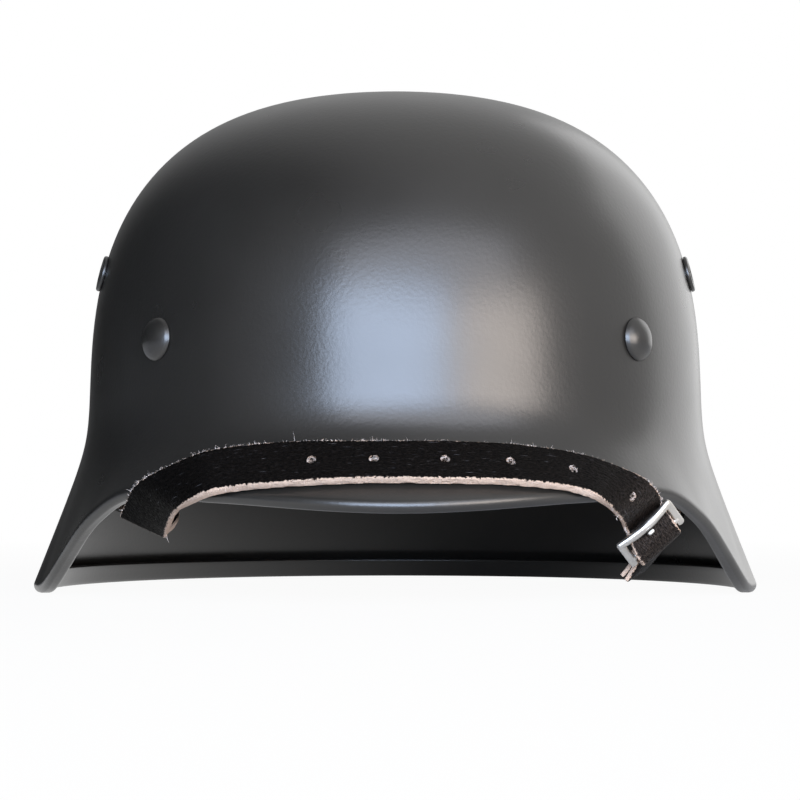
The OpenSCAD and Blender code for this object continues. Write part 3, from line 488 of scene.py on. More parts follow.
def castAluminium():
    # Tumbled die-cast aluminium: pale, satin, with a fine grain and small casting pits
    material, tree, shader = newMaterial("tumbledCastAluminium", "#d9d6d0", 0.36, metallic=1.0)
    at = coordinates(tree)
    cloud = noise(tree, at, 260)
    feed(shader, {"Base Color": mixed(tree, cloud, "#c6c2bb", "#e2dfd9"),
                  "Roughness": spread(tree, cloud, 0.3, 0.7, 0.3, 0.5),
                  "Normal": dents(tree, noise(tree, at, 2200), 0.12, 0.0003)})
    return material


def hideFibres():
    # Raw hide fibres: pale pink-tan and matt
    material, tree, shader = newMaterial("rawHideFibre", "#e3d3c6", 0.85, ior=1.4)
    cloud = noise(tree, coordinates(tree), 500, 2.0)
    feed(shader, {"Base Color": mixed(tree, cloud, "#c9b3a2", "#f4ece6")})
    return material


def zincPlatedSteel():
    # Zinc-plated spring steel: a cool, slightly cloudy grey with a soft shine
    material, tree, shader = newMaterial("zincPlatedSteel", "#a9abad", 0.34, metallic=1.0)
    cloud = noise(tree, coordinates(tree), 190, 4.0)
    feed(shader, {"Base Color": mixed(tree, cloud, "#8f9296", "#b9bbbc"),
                  "Roughness": spread(tree, cloud, 0.3, 0.7, 0.28, 0.46)})
    return material


def rolledAluminium():
    # Rolled aluminium strip: pale, with fine lines along the band and a dull oxide bloom
    material, tree, shader = newMaterial("rolledAluminiumBand", "#c2c3c2", 0.42, metallic=1.0)
    at = coordinates(tree)
    lines = noise(tree, stretched(tree, at, (0.06, 0.06, 1.0)), 2400)
    feed(shader, {"Base Color": mixed(tree, noise(tree, at, 90, 4.0), "#a8a9a8", "#d2d2d0"),
                  "Normal": dents(tree, lines, 0.2, 0.0002)})
    return material


def linerHide():
    # Vegetable-tanned sheepskin: russet, matt, finely pored, darkened where it is handled
    material, tree, shader = newMaterial("vegetableTannedLeather", "#8a5d39", 0.62, ior=1.46)
    at = coordinates(tree)
    share = spread(tree, noise(tree, at, 42, 5.0, 0.6), 0.3, 0.72)
    wrinkle = noise(tree, at, 260, 4.0, 0.65)
    height = calculate(tree, "MULTIPLY_ADD", pebbles(tree, at, 900), 0.35, wrinkle)
    feed(shader, {"Base Color": mixed(tree, share, "#6b4428", "#a67a50"),
                  "Normal": dents(tree, height, 0.4, 0.0006)})
    return material


def woolFelt():
    # Pressed wool felt: grey-brown, matt, with a nap of short fibres about 0.5 mm long
    material, tree, shader = newMaterial("pressedWoolFelt", "#6d675d", 0.95, ior=1.4)
    at = coordinates(tree)
    feed(shader, {"Base Color": mixed(tree, noise(tree, at, 620), "#565047", "#87806f"),
                  "Normal": dents(tree, noise(tree, at, 1900, 5.0, 0.75), 0.8, 0.0008)})
    return material


def laidCotton():
    # Laid cotton cord: off-white, matt, dusty between its three strands
    material, tree, shader = newMaterial("laidCottonCord", "#cfc5ae", 0.88, ior=1.4)
    fibre = noise(tree, coordinates(tree), 2600, 4.0)
    feed(shader, {"Base Color": mixed(tree, fibre, "#a79c84", "#e0d8c6"),
                  "Normal": dents(tree, fibre, 0.6, 0.0004)})
    return material


enamel, paleFibre, blackLeather, aluminium = (
    paintedSteel(), hideFibres(), strapLeather(), castAluminium())
zincSteel, bandAlloy, russetLeather, greyFelt, cottonCord = (
    zincPlatedSteel(), rolledAluminium(), linerHide(), woolFelt(), laidCotton())

# the shell has the same numbers as the CAD source, on a finer grid
shellShape = {"halfWidth": 100.6, "front": 108.0, "back": 118.0, "crown": 163.6, "waist": 62.0,
              "power": 2.64, "sheet": 1.2, "crease": 49.0, "creaseSoft": 10.0, "visor": 27.0,
              "hemRadius": 2.5, "hemLeaf": 5.5, "hemFlat": 0.35, "around": 320,
              "domeSteps": 46, "wallSteps": 40, "bendSteps": 16}
# azimuth, height of the rim, slope of the skirt above it
rimRows = np.array([[0, 27, 1.26], [26, 29.88, 1.0458], [43.6, 30.6, 0.8316],
                    [54, 23.868, 0.576], [65, 13.005, 0.392], [76.5, 1.2852, 0.352],
                    [86, 0, 0.4], [180, 0, 0.56]])


def rimValue(column, azimuth):
    # a smooth curve through the rim's rows: each span is the cubic with its rows' mean slopes
    a = np.abs((np.asarray(azimuth, float) + 180) % 360 - 180)
    x, y = rimRows[:, 0], rimRows[:, column]
    slope = np.zeros(len(x))
    slope[1:-1] = (y[2:] - y[:-2]) / (x[2:] - x[:-2])
    i = np.clip(np.searchsorted(x, a, side="right") - 1, 0, len(x) - 2)
    h = x[i + 1] - x[i]
    u = (a - x[i]) / h
    return ((2 * u ** 3 - 3 * u ** 2 + 1) * y[i] + (u ** 3 - 2 * u ** 2 + u) * slope[i] * h
            + (3 * u ** 2 - 2 * u ** 3) * y[i + 1] + (u ** 3 - u ** 2) * slope[i + 1] * h)


def rimHeight(azimuth):
    return np.maximum(rimValue(1, azimuth), 0)


def planRadius(azimuth):
    # two half ellipses, one for the front and one for the back
    a = np.radians(azimuth)
    reach = np.where(np.cos(a) > 0, shellShape["front"], shellShape["back"])
    return 1 / np.hypot(np.sin(a) / shellShape["halfWidth"], np.cos(a) / reach)


def skirtReach(azimuth, z):
    # the skirt leans out below the crease, and the crease is rounded
    d = shellShape["crease"] - z
    return rimValue(2, azimuth) * (d + np.hypot(d, shellShape["creaseSoft"])) / 2


def wallRadius(azimuth, z):
    # a superellipse above the waist, plus the skirt
    up = np.maximum(0, (z - shellShape["waist"]) / (shellShape["crown"] - shellShape["waist"]))
    power = shellShape["power"]
    return planRadius(azimuth) * (1 - up ** power) ** (1 / power) + skirtReach(azimuth, z)


def polar(azimuth, r, z):
    a = np.radians(azimuth)
    return np.stack([r * np.sin(a), -r * np.cos(a), z + 0 * a], -1)


def wallPoint(azimuth, z):
    azimuth, z = np.asarray(azimuth, float), np.asarray(z, float)
    return polar(azimuth, wallRadius(azimuth, z), z)


def wallOut(azimuth, z):
    azimuth, z = np.asarray(azimuth, float), np.asarray(z, float)
    return unit(np.cross(wallPoint(azimuth + 0.2, z) - wallPoint(azimuth - 0.2, z),
                         wallPoint(azimuth, z + 0.2) - wallPoint(azimuth, z - 0.2)))


def edgeOut(azimuth):
    # the wall's outward direction in its section, where the rolled edge starts
    z = rimHeight(azimuth) + shellShape["hemRadius"]
    slope = skirtReach(azimuth, z - 0.5) - skirtReach(azimuth, z + 0.5)
    return unit(np.stack([np.ones_like(slope), slope], -1))


def edgePoint(azimuth):
    out = edgeOut(azimuth)
    r = shellShape["hemRadius"]
    z = rimHeight(azimuth) + r - shellShape["hemFlat"] + r * out[..., 1]
    return np.stack([wallRadius(azimuth, z), z], -1)


def byRim(azimuth, out, up):
    # a place outwards from the rolled edge and up from the rim's lowest line
    azimuth = np.asarray(azimuth, float)
    return polar(azimuth, edgePoint(azimuth)[..., 0] + out, rimHeight(azimuth) + up)


def shellSections(azimuth):
    # sections as (radius, height) from the crown down the outside, round the rolled edge and
    # its leaf, and back up the inside
    s = shellShape
    a = azimuth[:, None]
    power = 2 / s["power"]
    u = np.linspace(0, np.pi / 2, s["domeSteps"] + 1)[None, :]
    z = s["waist"] + (s["crown"] - s["waist"]) * np.cos(u) ** power
    dome = np.stack([planRadius(a) * np.sin(u) ** power + skirtReach(a, z) * np.sin(u),
                     z + 0 * a], -1)
    dome[:, 0, 0] = 0
    edge = edgePoint(azimuth)
    step = np.linspace(0, 1, s["wallSteps"] + 1)[None, 1:]
    z = s["waist"] + (edge[:, 1:] - s["waist"]) * step
    wall = np.stack([wallRadius(a, z), z], -1)
    outside = np.concatenate([dome, wall], 1)
    ahead = np.roll(outside, -1, 1) - np.roll(outside, 1, 1)
    out = outward(-ahead)
    out[:, 0] = [0, 1]
    out[:, -1] = edgeOut(azimuth)
    inside = outside - s["sheet"] * out
    inside[:, 0, 0] = 0
    across = edgeOut(azimuth)[:, None]
    along = np.stack([-across[..., 1], across[..., 0]], -1)
    centre = edge[:, None] - s["hemRadius"] * across

    def bend(r):
        turn = np.linspace(0, np.pi, s["bendSteps"] + 1)[None, 1:, None]
        line = centre + r * (across * np.cos(turn) - along * np.sin(turn))
        low = rimHeight(azimuth)[:, None] + s["hemRadius"] - r
        line[..., 1] = np.maximum(line[..., 1], low)
        return line

    rise = np.linspace(0, 1, 5)[None, 1:, None] * s["hemLeaf"]
    outerLeaf = centre - s["hemRadius"] * across + rise * along
    innerLeaf = centre - (s["hemRadius"] - s["sheet"]) * across + rise * along
    turn = np.linspace(0, np.pi, 7)[None, 1:-1, None]
    tip = (outerLeaf[:, -1:] + innerLeaf[:, -1:]) / 2 + s["sheet"] / 2 * (
        -across * np.cos(turn) + along * np.sin(turn))
    return np.concatenate([outside, bend(s["hemRadius"]), outerLeaf, tip, innerLeaf[:, ::-1],
                           bend(s["hemRadius"] - s["sheet"])[:, ::-1], inside[:, ::-1]], 1)


def wallFrame(azimuth, z):
    out = wallOut(azimuth, z)
    side = unit(np.cross([0, 0, 1], out))
    return wallPoint(azimuth, z), side, np.cross(out, side), out


def drill(frameOf, radius, low, high):
    # a round cutter along a frame's out direction
    points, faces = rod(radius, low, high, 48)
    return addPiece("cutter", onFrame(points, *frameOf), faces, enamel)


pinShape = {"azimuth": 44.8, "height": 79.7, "rearHeight": 76.0, "head": 6.7, "rise": 3.4,
            "shank": 2.2, "hole": 2.5, "legs": 8.5, "legWidth": 3.6, "legThick": 0.9,
            "legStart": 0.6, "legRound": 0.28}
ventShape = {"azimuth": 78.3, "height": 103.8, "bore": 3.2, "wall": 0.9, "flange": 5.9,
             "hole": 4.4, "roll": 1.1, "lip": 0.7}
# a washer's thickness, the gaps that the bands and the sheet leave under it, its play, and how
# far the heads stand off the paint
washer = {"thick": 0.8, "pinGap": 0.72, "ventGap": 1.86, "play": 0.1, "under": 0.06}
pinSpots = {"FrontLeft": (-pinShape["azimuth"], pinShape["height"], "liner_pin_front_left"),
            "FrontRight": (pinShape["azimuth"], pinShape["height"], "liner_pin_front_right"),
            "Rear": (180.0, pinShape["rearHeight"], "liner_pin_rear")}


def addShell():
    azimuth = np.linspace(0, 360, shellShape["around"], endpoint=False)
    sections = shellSections(azimuth)
    points = polar(azimuth[:, None], sections[..., 0], sections[..., 1])
    shell = addPiece("steelShell", points, gridFaces(*points.shape[:2], True), enamel, 60)
    cutters = [drill(wallFrame(a, z), pinShape["hole"], -8, 4) for a, z, _ in pinSpots.values()]
    cutters += [drill(wallFrame(side * ventShape["azimuth"], ventShape["height"]),
                      ventShape["hole"], -6, 6) for side in sideName]
    fitted(cutAway(shell, cutters, 60), "shell", "shell")


addShell()
print("shell pressed")

# the liner's bands, which the pins hold, and the fixings that hang on the outer band
linerShape = {"outerInset": 4.2, "band": 1.0, "gap": 7.8, "outerZ": 64.0, "outerH": 30.0,
              "innerZ": 58.0, "innerH": 29.0, "springT": 0.7, "springH": 13.0,
              "springHalf": 19.0, "springZ": 71.0, "seat": 0.2, "footHalf": 4.2,
              "footRound": 2.5, "springAt": (18, 103, 146, 214, 257, 342), "rivet": 1.3,
              "rivetHead": 2.8, "headRise": 0.8, "felt": 1.8, "leather": 1.4,
              "leatherRivetZ": 62.5, "lip": 0.3, "feltLip": 0.6, "flapUp": 9.5}
fixShape = {"azimuth": 75.0, "wire": 1.5, "drop": 14.3, "half": 11.5, "corner": 3.0,
            "length": 13.0, "studDrop": 8.4, "studShank": 1.3, "studHead": 3.2,
            "plateWidth": 22, "plate": 1.0, "below": 3.2, "play": 0.1, "tailInset": 6.0,
            "slack": 0.2, "past": 0.3}
outerIn = linerShape["outerInset"] + linerShape["band"]
innerInset = outerIn + linerShape["gap"]
feltInset = innerInset + linerShape["band"] + linerShape["headRise"] + 0.5
leatherMid = feltInset + linerShape["felt"] + 0.3 + linerShape["leather"] / 2
flapMid = innerInset - 0.45 - linerShape["leather"] / 2


def domeProfile(radius, rise):
    # a low round head: a cap of a sphere that turns over a small rounded edge to its foot
    edge = 0.2 * rise
    cap = rise - edge
    ball = (radius ** 2 + cap ** 2) / (2 * cap)
    half = math.asin(radius / ball)
    turn = half * (1 - np.linspace(0, 1, 14))
    dome = np.column_stack([ball * np.sin(turn), edge + cap - ball + ball * np.cos(turn)])
    foot = [[0, 0], [radius - 0.35, 0], [radius - 0.12, 0.06], [radius, 0.3]]
    return np.array(foot + dome[1:].tolist())


def addPin(where):
    azimuth, z, node = pinSpots[where]
    p = pinShape
    # depth of the outer band's inside below the shell's outside, and of the washer's
    band = float(wallRadius(azimuth, z) - planRadius(azimuth) + outerIn)
    depth = band + washer["pinGap"] + washer["thick"] + washer["play"]
    head = domeProfile(p["head"], p["rise"]) + [0, washer["under"]]
    parts = [spun(head, 64), rod(p["shank"], -depth - p["legThick"], 0.5, 32)]
    ring = np.array([[-1, -0.35], [-0.8, -0.5], [0.8, -0.5], [1, -0.35],
                     [1, 0.35], [0.8, 0.5], [-0.8, 0.5], [-1, 0.35]])
    t = np.linspace(0, 1, 13)
    past = np.clip((t - 1 + p["legRound"]) / p["legRound"], 0, 1)
    width = p["legWidth"] / 2 * np.sqrt(np.clip(1 - past ** 2, 0.02, 1))
    lift = -depth - 0.05 - 0.5 * p["legThick"] + 0.25 * np.exp(-t * 9)
    for side in sideName:
        # a leg bends from the shank onto the washer, and its end is rounded
        x = side * (p["legStart"] + (p["legs"] - p["legStart"]) * t)
        grid = np.stack([x[:, None] + 0 * ring[:, 0], width[:, None] * ring[:, 0],
                         lift[:, None] + p["legThick"] * ring[:, 1]], -1)
        parts.append((grid, [face[::side] for face in cappedGrid(len(t), len(ring))]))
    points, faces = joined(parts)
    pin = addPiece("linerPin" + where, onFrame(points, *wallFrame(azimuth, z)), faces, enamel, 35)
    fitted(pin, "shell", node)


def addVent(side):
    v = ventShape
    barrel, lip = v["bore"] + v["wall"], v["lip"]
    bottom = washer["ventGap"] + washer["thick"] + washer["play"] + v["roll"]
    turn = np.linspace(0, np.pi / 2, 5)
    profile = [[v["bore"], -bottom + 0.4], [v["bore"] + 0.3, -bottom], [barrel + 0.9, -bottom],
               [barrel + 1.2, -bottom + v["roll"] / 2], [barrel + 0.9, -bottom + v["roll"]],
               [barrel, -bottom + v["roll"]], [barrel, washer["under"]],
               [v["flange"] - 0.1, washer["under"]], [v["flange"], 0.3]]
    # the flange's round lip, and the mouth of the bore
    profile += [[v["flange"] - lip + lip * math.cos(a), 0.6 + lip * math.sin(a)] for a in turn]
    profile += [[v["bore"] + lip - lip * math.sin(a), 0.6 + lip * math.cos(a)] for a in turn]
    points, faces = spun(profile, 64, True)
    place = wallFrame(side * v["azimuth"], v["height"])
    vent = addPiece("ventBushing" + sideName[side], onFrame(points, *place), faces, enamel, 35)
    fitted(vent, "shell", "vent_bushing_" + sideName[side].lower())


for where in pinSpots:
    addPin(where)
for side in sideName:
    addVent(side)
print("pins and vents set")


def ovalPoint(azimuth, inset):
    a = np.radians(np.asarray(azimuth, float))
    r = planRadius(azimuth) - inset
    return np.stack([r * np.sin(a), -r * np.cos(a)], -1)


def ovalOut(azimuth, inset):
    azimuth = np.asarray(azimuth, float)
    t = ovalPoint(azimuth + 0.2, inset) - ovalPoint(azimuth - 0.2, inset)
    return outward(t)


def ovalFrame(azimuth, inset, z):
    at, out = ovalPoint(azimuth, inset), ovalOut(azimuth, inset)
    return (np.array([at[0], at[1], z]), np.array([-out[1], out[0], 0.0]),
            np.array([0.0, 0, 1]), np.array([out[0], out[1], 0.0]))


def baleFrame(side):
    # the wire lies on the bracket's plate, which stands off the band by its flat back's sag
    f = fixShape
    sag = f["plateWidth"] ** 2 / 8 / (shellShape["halfWidth"] - outerIn - 3)
    return ovalFrame(side * f["azimuth"], outerIn + sag + f["play"] + f["plate"] / 2,
                     linerShape["outerZ"] - f["below"])


# the chin strap: each row places the outer face's upper edge and then its lower edge, over the
# visor by azimuth, height above the visor's edge and lift off it, and at both ends by azimuth,
# distance out from the rolled edge and height above the rim
strapShape = {"width": 15.2, "thick": 2.4, "tip": 1.5, "lift": 0.85, "steps": 12,
              "hole": 1.45, "aside": 0.3, "foldRadius": 1.9, "bevel": 0.3, "round": 0.42,
              "bulge": 0.14, "tailLayer": 1.35, "cornerSwell": (0.1, 0.25, 0.45, 0.5, 0.4, 0.2),
              "apart": 0.08}  # half the gap between two layers that are folded round a bar
# how much of the finish is rubbed off, which also sets a painted sheen in the same greyish-brown:
# along the front, which is little at its left corner and peaks at the buckle, on the fold, and on
# the other runs
wearAndSheenShape = {"along": 0.14, "rise": 6, "least": 0.1, "peak": 0.5, "peakRow": 17.2,
             "peakSpread": 14.0, "fold": 0.9, "tip": 0.8, "tail": 0.2, "loop": 0.35, "stub": 0.5}
buckleShape = {"pitch": 9.2, "side": 2.4, "plate": 1.6, "barHeight": 2.4, "barWidth": 2.9,
               "rear": 1.2, "tail": 2.6, "half": 8.2, "arch": 1.2, "stubTurn": 39.0,
               "stub": 8.0, "loop": 1.0, "loopGap": 0.2, "lie": 0.3, "overTurn": 18.0,
               "corner": 0.9, "tongueWidth": 2.4, "tongueEye": 1.0, "eyeHalf": 1.2,
               "loopSlot": (1.5, 2.8, 6.0), "play": 0.1,
               "frameMelt": (0.16, 4), "tongueMelt": (0.13, 3)}  # voxel, rounds of smoothing
visorRows = [[-28.3, 12.3, 4.4, -25.3, 2.65, 1.3], [-24.5, 15.1, 3.2, -21.5, 5.02, 0.5],
             [-19.8, 17.1, 1.9, -16.8, 6.16, 0.2], [-13.8, 18.5, 0.9, -11.5, 7.1, 0],
             [-6.9, 19.1, 0, -6.2, 7.7, 0], [0, 19.1, 0, 0, 7.8, 0], [6.7, 19.1, 0, 6, 7.7, 0],
             [14.9, 18.5, 0, 13.4, 7.4, 0], [19.1, 17.7, 0, 16.8, 6.9, 0],
             [23.6, 16.4, 0.3, 20.3, 6.2, 0], [27.9, 14.4, 0.6, 23.6, 5.1, 0],
             [31.1, 11.4, 1.5, 26.2, 3.1, 0]]
leftRows = [[-44.8, 1.5, -4.8, -38.5, -6.8, -11.8], [-42, 3.6, -0.9, -36.2, -3.1, -9.3],
            [-39.2, 5.5, 3.3, -33.7, 0.8, -5.8], [-35.5, 5.4, 7.4, -30.2, 5.3, -1.8]]
rightRows = [[35.2, 4.2, 6.9, 29.4, 3.8, -1.3], [38, 5, 2.9, 32.6, 1.1, -5.6]]
holePlaces = [21.5, 25.5, 29.9, 33.6, 40.8, 49.3]  # along the line, three to a row
fibreShape = {"upper": 520, "lower": 320, "perHole": 22, "seed": 8}

buckleAt = byRim(41.8, -2.3, -11.9)
runBuckle = unit(np.array([0.416, 0.777, -0.473]))
acrossBuckle = np.array([-0.745, -0.007, -0.667])
acrossBuckle = unit(acrossBuckle - runBuckle * (acrossBuckle @ runBuckle))
outBuckle = np.cross(acrossBuckle, runBuckle)
buckleFrame = (buckleAt, acrossBuckle, runBuckle, outBuckle)


def offVisor(azimuth, above, lift):
    z = shellShape["visor"] + above
    return wallPoint(azimuth, z) + (strapShape["lift"] + strapShape["thick"] + lift) * wallOut(
        azimuth, z)


def byBuckle(along, out, aside=0.0):
    return buckleAt + along * runBuckle + out * outBuckle + aside * acrossBuckle


def stubPlace(along, out):
    turn = math.radians(buckleShape["stubTurn"])
    return byBuckle(along * math.cos(turn) + out * math.sin(turn),
                    -along * math.sin(turn) + out * math.cos(turn))


def buckleRow(place, thick, less=0.0):
    half = (strapShape["width"] / 2 - less) * acrossBuckle
    return np.concatenate([place - half, place + half, [thick]])


def bandRows(upper, lower, thick):
    # rows of a band from the two lines of its edges
    return np.concatenate([upper, lower, np.full((len(upper), 1), thick)], 1)


def rowMiddle(rows):
    return (rows[..., :3] + rows[..., 3:6]) / 2


def strapRows():
    s, b = strapShape, buckleShape
    rows = [np.concatenate([place(*c[:3]), place(*c[3:]), [s["thick"]]])
            for place, given in ((byRim, leftRows), (offVisor, visorRows), (byRim, rightRows))
            for c in given]
    over = b["rear"] + b["loopGap"] + b["loop"] + b["lie"] + s["tip"]
    under = -(b["barHeight"] / 2 + b["lie"])
    aside, turn = s["aside"], math.radians(b["overTurn"])
    # the strap goes through the frame off centre and a little drawn together
    for along, out, thick, off, less in (
            (-b["pitch"] - 2, under, s["thick"] * 0.8, -2.0, 0.6),
            (-b["pitch"] + 0.6, under, s["tip"], -1.3, 0.8),
            (-b["pitch"] + 3, 1.2, s["tip"], -0.4, 0.4),
            (-b["pitch"] + 5.6, 3.6, s["tip"], aside, 0),
            (-1.2, over - 0.1, s["tip"], aside, 0),
            (over * math.sin(turn), over * math.cos(turn), s["tip"], aside, 0)):
        rows.append(buckleRow(byBuckle(along, out, off), thick, less))
    step = b["loop"] + b["play"] + b["lie"] + s["tip"]
    for along, out in ((over * 0.2, over * 0.98), (over * 0.8, step + 0.9),
                       (b["stub"] - 1, step)):
        rows.append(buckleRow(stubPlace(along, out) + aside * acrossBuckle, s["tip"]))
    rows = np.array(rows)
    rows[:len(s["cornerSwell"]), 6] += s["cornerSwell"]
    return rows


def lineOut(line):
    # the outer face's normal at each row, and the way ahead
    middle = rowMiddle(line)
    ahead = np.empty_like(middle)
    ahead[1:-1] = middle[2:] - middle[:-2]
    ahead[0], ahead[-1] = middle[1] - middle[0], middle[-1] - middle[-2]
    return unit(np.cross(line[:, 3:6] - line[:, :3], ahead)), unit(ahead)


def strapSection(width, thick):
    # the band's section from the upper edge round: distance across, depth, and how far inside
    # the cut the point lies, in mm
    r, bevel = strapShape["round"], strapShape["bevel"]
    turn = np.linspace(0, np.pi / 2, 5)[1:-1]
    a = np.linspace(r, width - r, 25)
    d = np.linspace(r, thick - 0.2, 5)
    bulge = strapShape["bulge"] * (1 - (2 * a / width - 1) ** 2)
    swell = 0.1 * np.sin((d - r) / (thick - r) * np.pi)
    across, deep = r * np.sin(turn), r - r * np.cos(turn)
    return np.concatenate([
        np.column_stack([a, -bulge, np.maximum(-a + 0.1, a - width + 0.1 + bevel)]),
        np.column_stack([width - r + across, deep, -0.25 + bevel + 0.3 * turn]),
        np.column_stack([width + swell, d, 0.3 + d]),
        np.column_stack([a[::-1], thick + 0 * a, -np.minimum(a, width - a)[::-1]]),
        np.column_stack([-swell, d, 0.3 + d])[::-1],
        np.column_stack([r - across, deep, -0.25 + 0.3 * turn])[::-1]])


def strapSkin(line, seed, wear):
    # the section carried along the rows, with a slight tremble of the cut edges
    out, _ = lineOut(line)
    width = np.linalg.norm(line[:, 3:6] - line[:, :3], axis=1)
    sections = np.array([strapSection(w, t) for w, t in zip(width, line[:, 6])])
    random = np.random.default_rng(seed)
    tremble = random.normal(0, 0.05, sections.shape[:2]) * (sections[..., 2] > 0.1)
    tremble += 0.5 * (np.roll(tremble, 1, 0) + np.roll(tremble, -1, 0))
    across = unit(line[:, 3:6] - line[:, :3])
    sign = np.where(sections[..., 0] > width[:, None] / 2, 1, -1)
    points = (line[:, None, :3] + (sections[..., 0] + sign * tremble)[..., None] * across[:, None]
              - sections[..., 1:2] * out[:, None])
    gone = goneAlong(rowMiddle(line))
    uv = np.stack([gone[:, None] + 0 * sections[..., 0], sections[..., 0]], -1)
    wornAndSheen = np.broadcast_to(wear, len(line))[:, None] + 0 * sections[..., 0]
    return points, cappedGrid(*points.shape[:2]), uv, {"edge": sections[..., 2], "wear": wornAndSheen}


def addStrap(name, lines, seed, wear):
    # one band, or several layers as one piece
    skins = [strapSkin(line, seed + k, wear) for k, line in enumerate(lines)]
    points, faces = joined([skin[:2] for skin in skins])
    uv = np.concatenate([skin[2].reshape(-1, 2) for skin in skins])
    attributes = {key: np.concatenate([skin[3][key].ravel() for skin in skins])
                  for key in ("edge", "wear")}
    return addPiece(name, points, faces, blackLeather, 50, uv, attributes)


def leatherCutter(points, faces):
    # a cutter that leaves a cut edge without wear and without painted sheen
    count = len(points)
    return addPiece("cutter", points, faces, blackLeather, 38, np.zeros((count, 2)),
                    {"edge": np.full(count, 0.5), "wear": np.zeros(count)})


def lineAt(line, place):
    i = int(place)
    row = line[i] * (1 - place + i) + line[i + 1] * (place - i)
    ahead = unit((line[i + 1, :3] + line[i + 1, 3:6]) - (line[i, :3] + line[i, 3:6]))
    out = unit(np.cross(row[3:6] - row[:3], ahead))
    return rowMiddle(row), ahead, np.cross(out, ahead), out


def leftFold(line):
    # the strap turns under at its left end: rows on a small bend from the line's first row
    middle = rowMiddle(line[0])
    out, ahead = (x[0] for x in lineOut(line))
    across = (line[0, 3:6] - line[0, :3]) / 2
    target = unit(np.array([2.0, 18.0, 4.0]))
    whole = math.atan2(-(target @ out), -(target @ ahead))
    turn = np.linspace(0, whole, 15)[1:, None]
    r = strapShape["foldRadius"]
    bent = middle - ahead * r * np.sin(turn) - out * r * (1 - np.cos(turn))
    rows = bandRows(bent - across, bent + across, line[0, 6])
    leave = -ahead * math.cos(whole) - out * math.sin(whole)
    return rows[::-1], bent[-1], leave, 2 * across


def bentPath(knots, steps=60):
    # the cubic that leaves its first knot towards the second and meets the last from the third
    u = np.linspace(0, 1, steps)[:, None]
    return ((1 - u) ** 3 * knots[0] + 3 * (1 - u) ** 2 * u * knots[1]
            + 3 * (1 - u) * u ** 2 * knots[2] + u ** 3 * knots[3])


def tailRows(side, middle, startAcross, thick, turnedBy):
    # a band along its middle line up to the bale, whose width turns from the one direction to
    # the other over the first share of the way
    n = ovalOut(side * fixShape["azimuth"], fixShape["tailInset"])
    endAcross = side * np.array([-n[1], n[0], 0])
    gone = goneAlong(middle)
    u = np.clip(gone / gone[-1] / turnedBy, 0, 1)[:, None]
    s = eased(u)
    half = unit(unit(startAcross) * (1 - s) - endAcross * s) * strapShape["width"] / 2
    return bandRows(middle - half, middle + half, thick)


def hairs(roots, leave, length, radius, random):
    # tapered three-sided hairs: each leaves its root along its own direction and curls aside
    count = len(roots)
    aside = unit(np.cross(leave, random.normal(size=(count, 3))))
    other = np.cross(leave, aside)
    u = np.array([-0.15, 0.3, 0.65, 1.0])[None, :, None]
    curl = random.normal(0, 0.45, (count, 1, 1))
    path = roots[:, None] + length[:, None, None] * (leave[:, None] * u
                                                     + aside[:, None] * curl * u ** 2)
    turn = 2 * np.pi * np.arange(3) / 3
    ring = (aside[:, None, None] * np.cos(turn)[None, None, :, None]
            + other[:, None, None] * np.sin(turn)[None, None, :, None])
    thin = radius[:, None, None, None] * (1.05 - 0.85 * np.clip(u, 0, 1))[..., None]
    points = path[:, :, None] + thin * ring
    faces = [[k + 12 * n for k in face] for n in range(count) for face in cappedGrid(4, 3)]
    return points.reshape(-1, 3), faces


def edgeHairs(line, out, ahead, first, last, edge, random):
    # they stand in clumps: places are drawn round a smaller number of centres
    column, sign, count, reach = edge
    centres = random.uniform(first, last, count // 5)
    at = np.clip(centres[random.integers(0, len(centres), count)]
                 + random.normal(0, 2.2, count), first, last - 1)
    i, f = at.astype(int), (at % 1)[:, None]
    place = line[i, column] * (1 - f) + line[np.minimum(i + 1, last), column] * f
    away = sign * unit(line[i, 3:6] - line[i, :3])
    depth = random.uniform(0.1, 0.9, (count, 1))
    place = place - out[i] * depth - away * 0.05
    leave = unit(away + random.normal(0, 0.45, (count, 1)) * ahead[i]
                 + random.normal(0.25, 0.4, (count, 1)) * out[i])
    length = reach * random.lognormal(0, 0.5, count)
    return hairs(place, leave, length, random.uniform(0.03, 0.075, count), random)


def holeHairs(line, place, random):
    middle, run, up, face = lineAt(line, place)
    count = fibreShape["perHole"]
    turn = random.uniform(np.pi * -0.15, np.pi * 1.15, count)
    radial = np.cos(turn)[:, None] * run + np.sin(turn)[:, None] * up
    root = middle + radial * strapShape["hole"] - face * random.uniform(0.2, 0.9, (count, 1))
    leave = unit(-radial + random.normal(0, 0.5, (count, 3)) + 0.45 * face)
    return hairs(root, leave, random.uniform(0.5, 1.25, count),
                 random.uniform(0.07, 0.14, count), random)


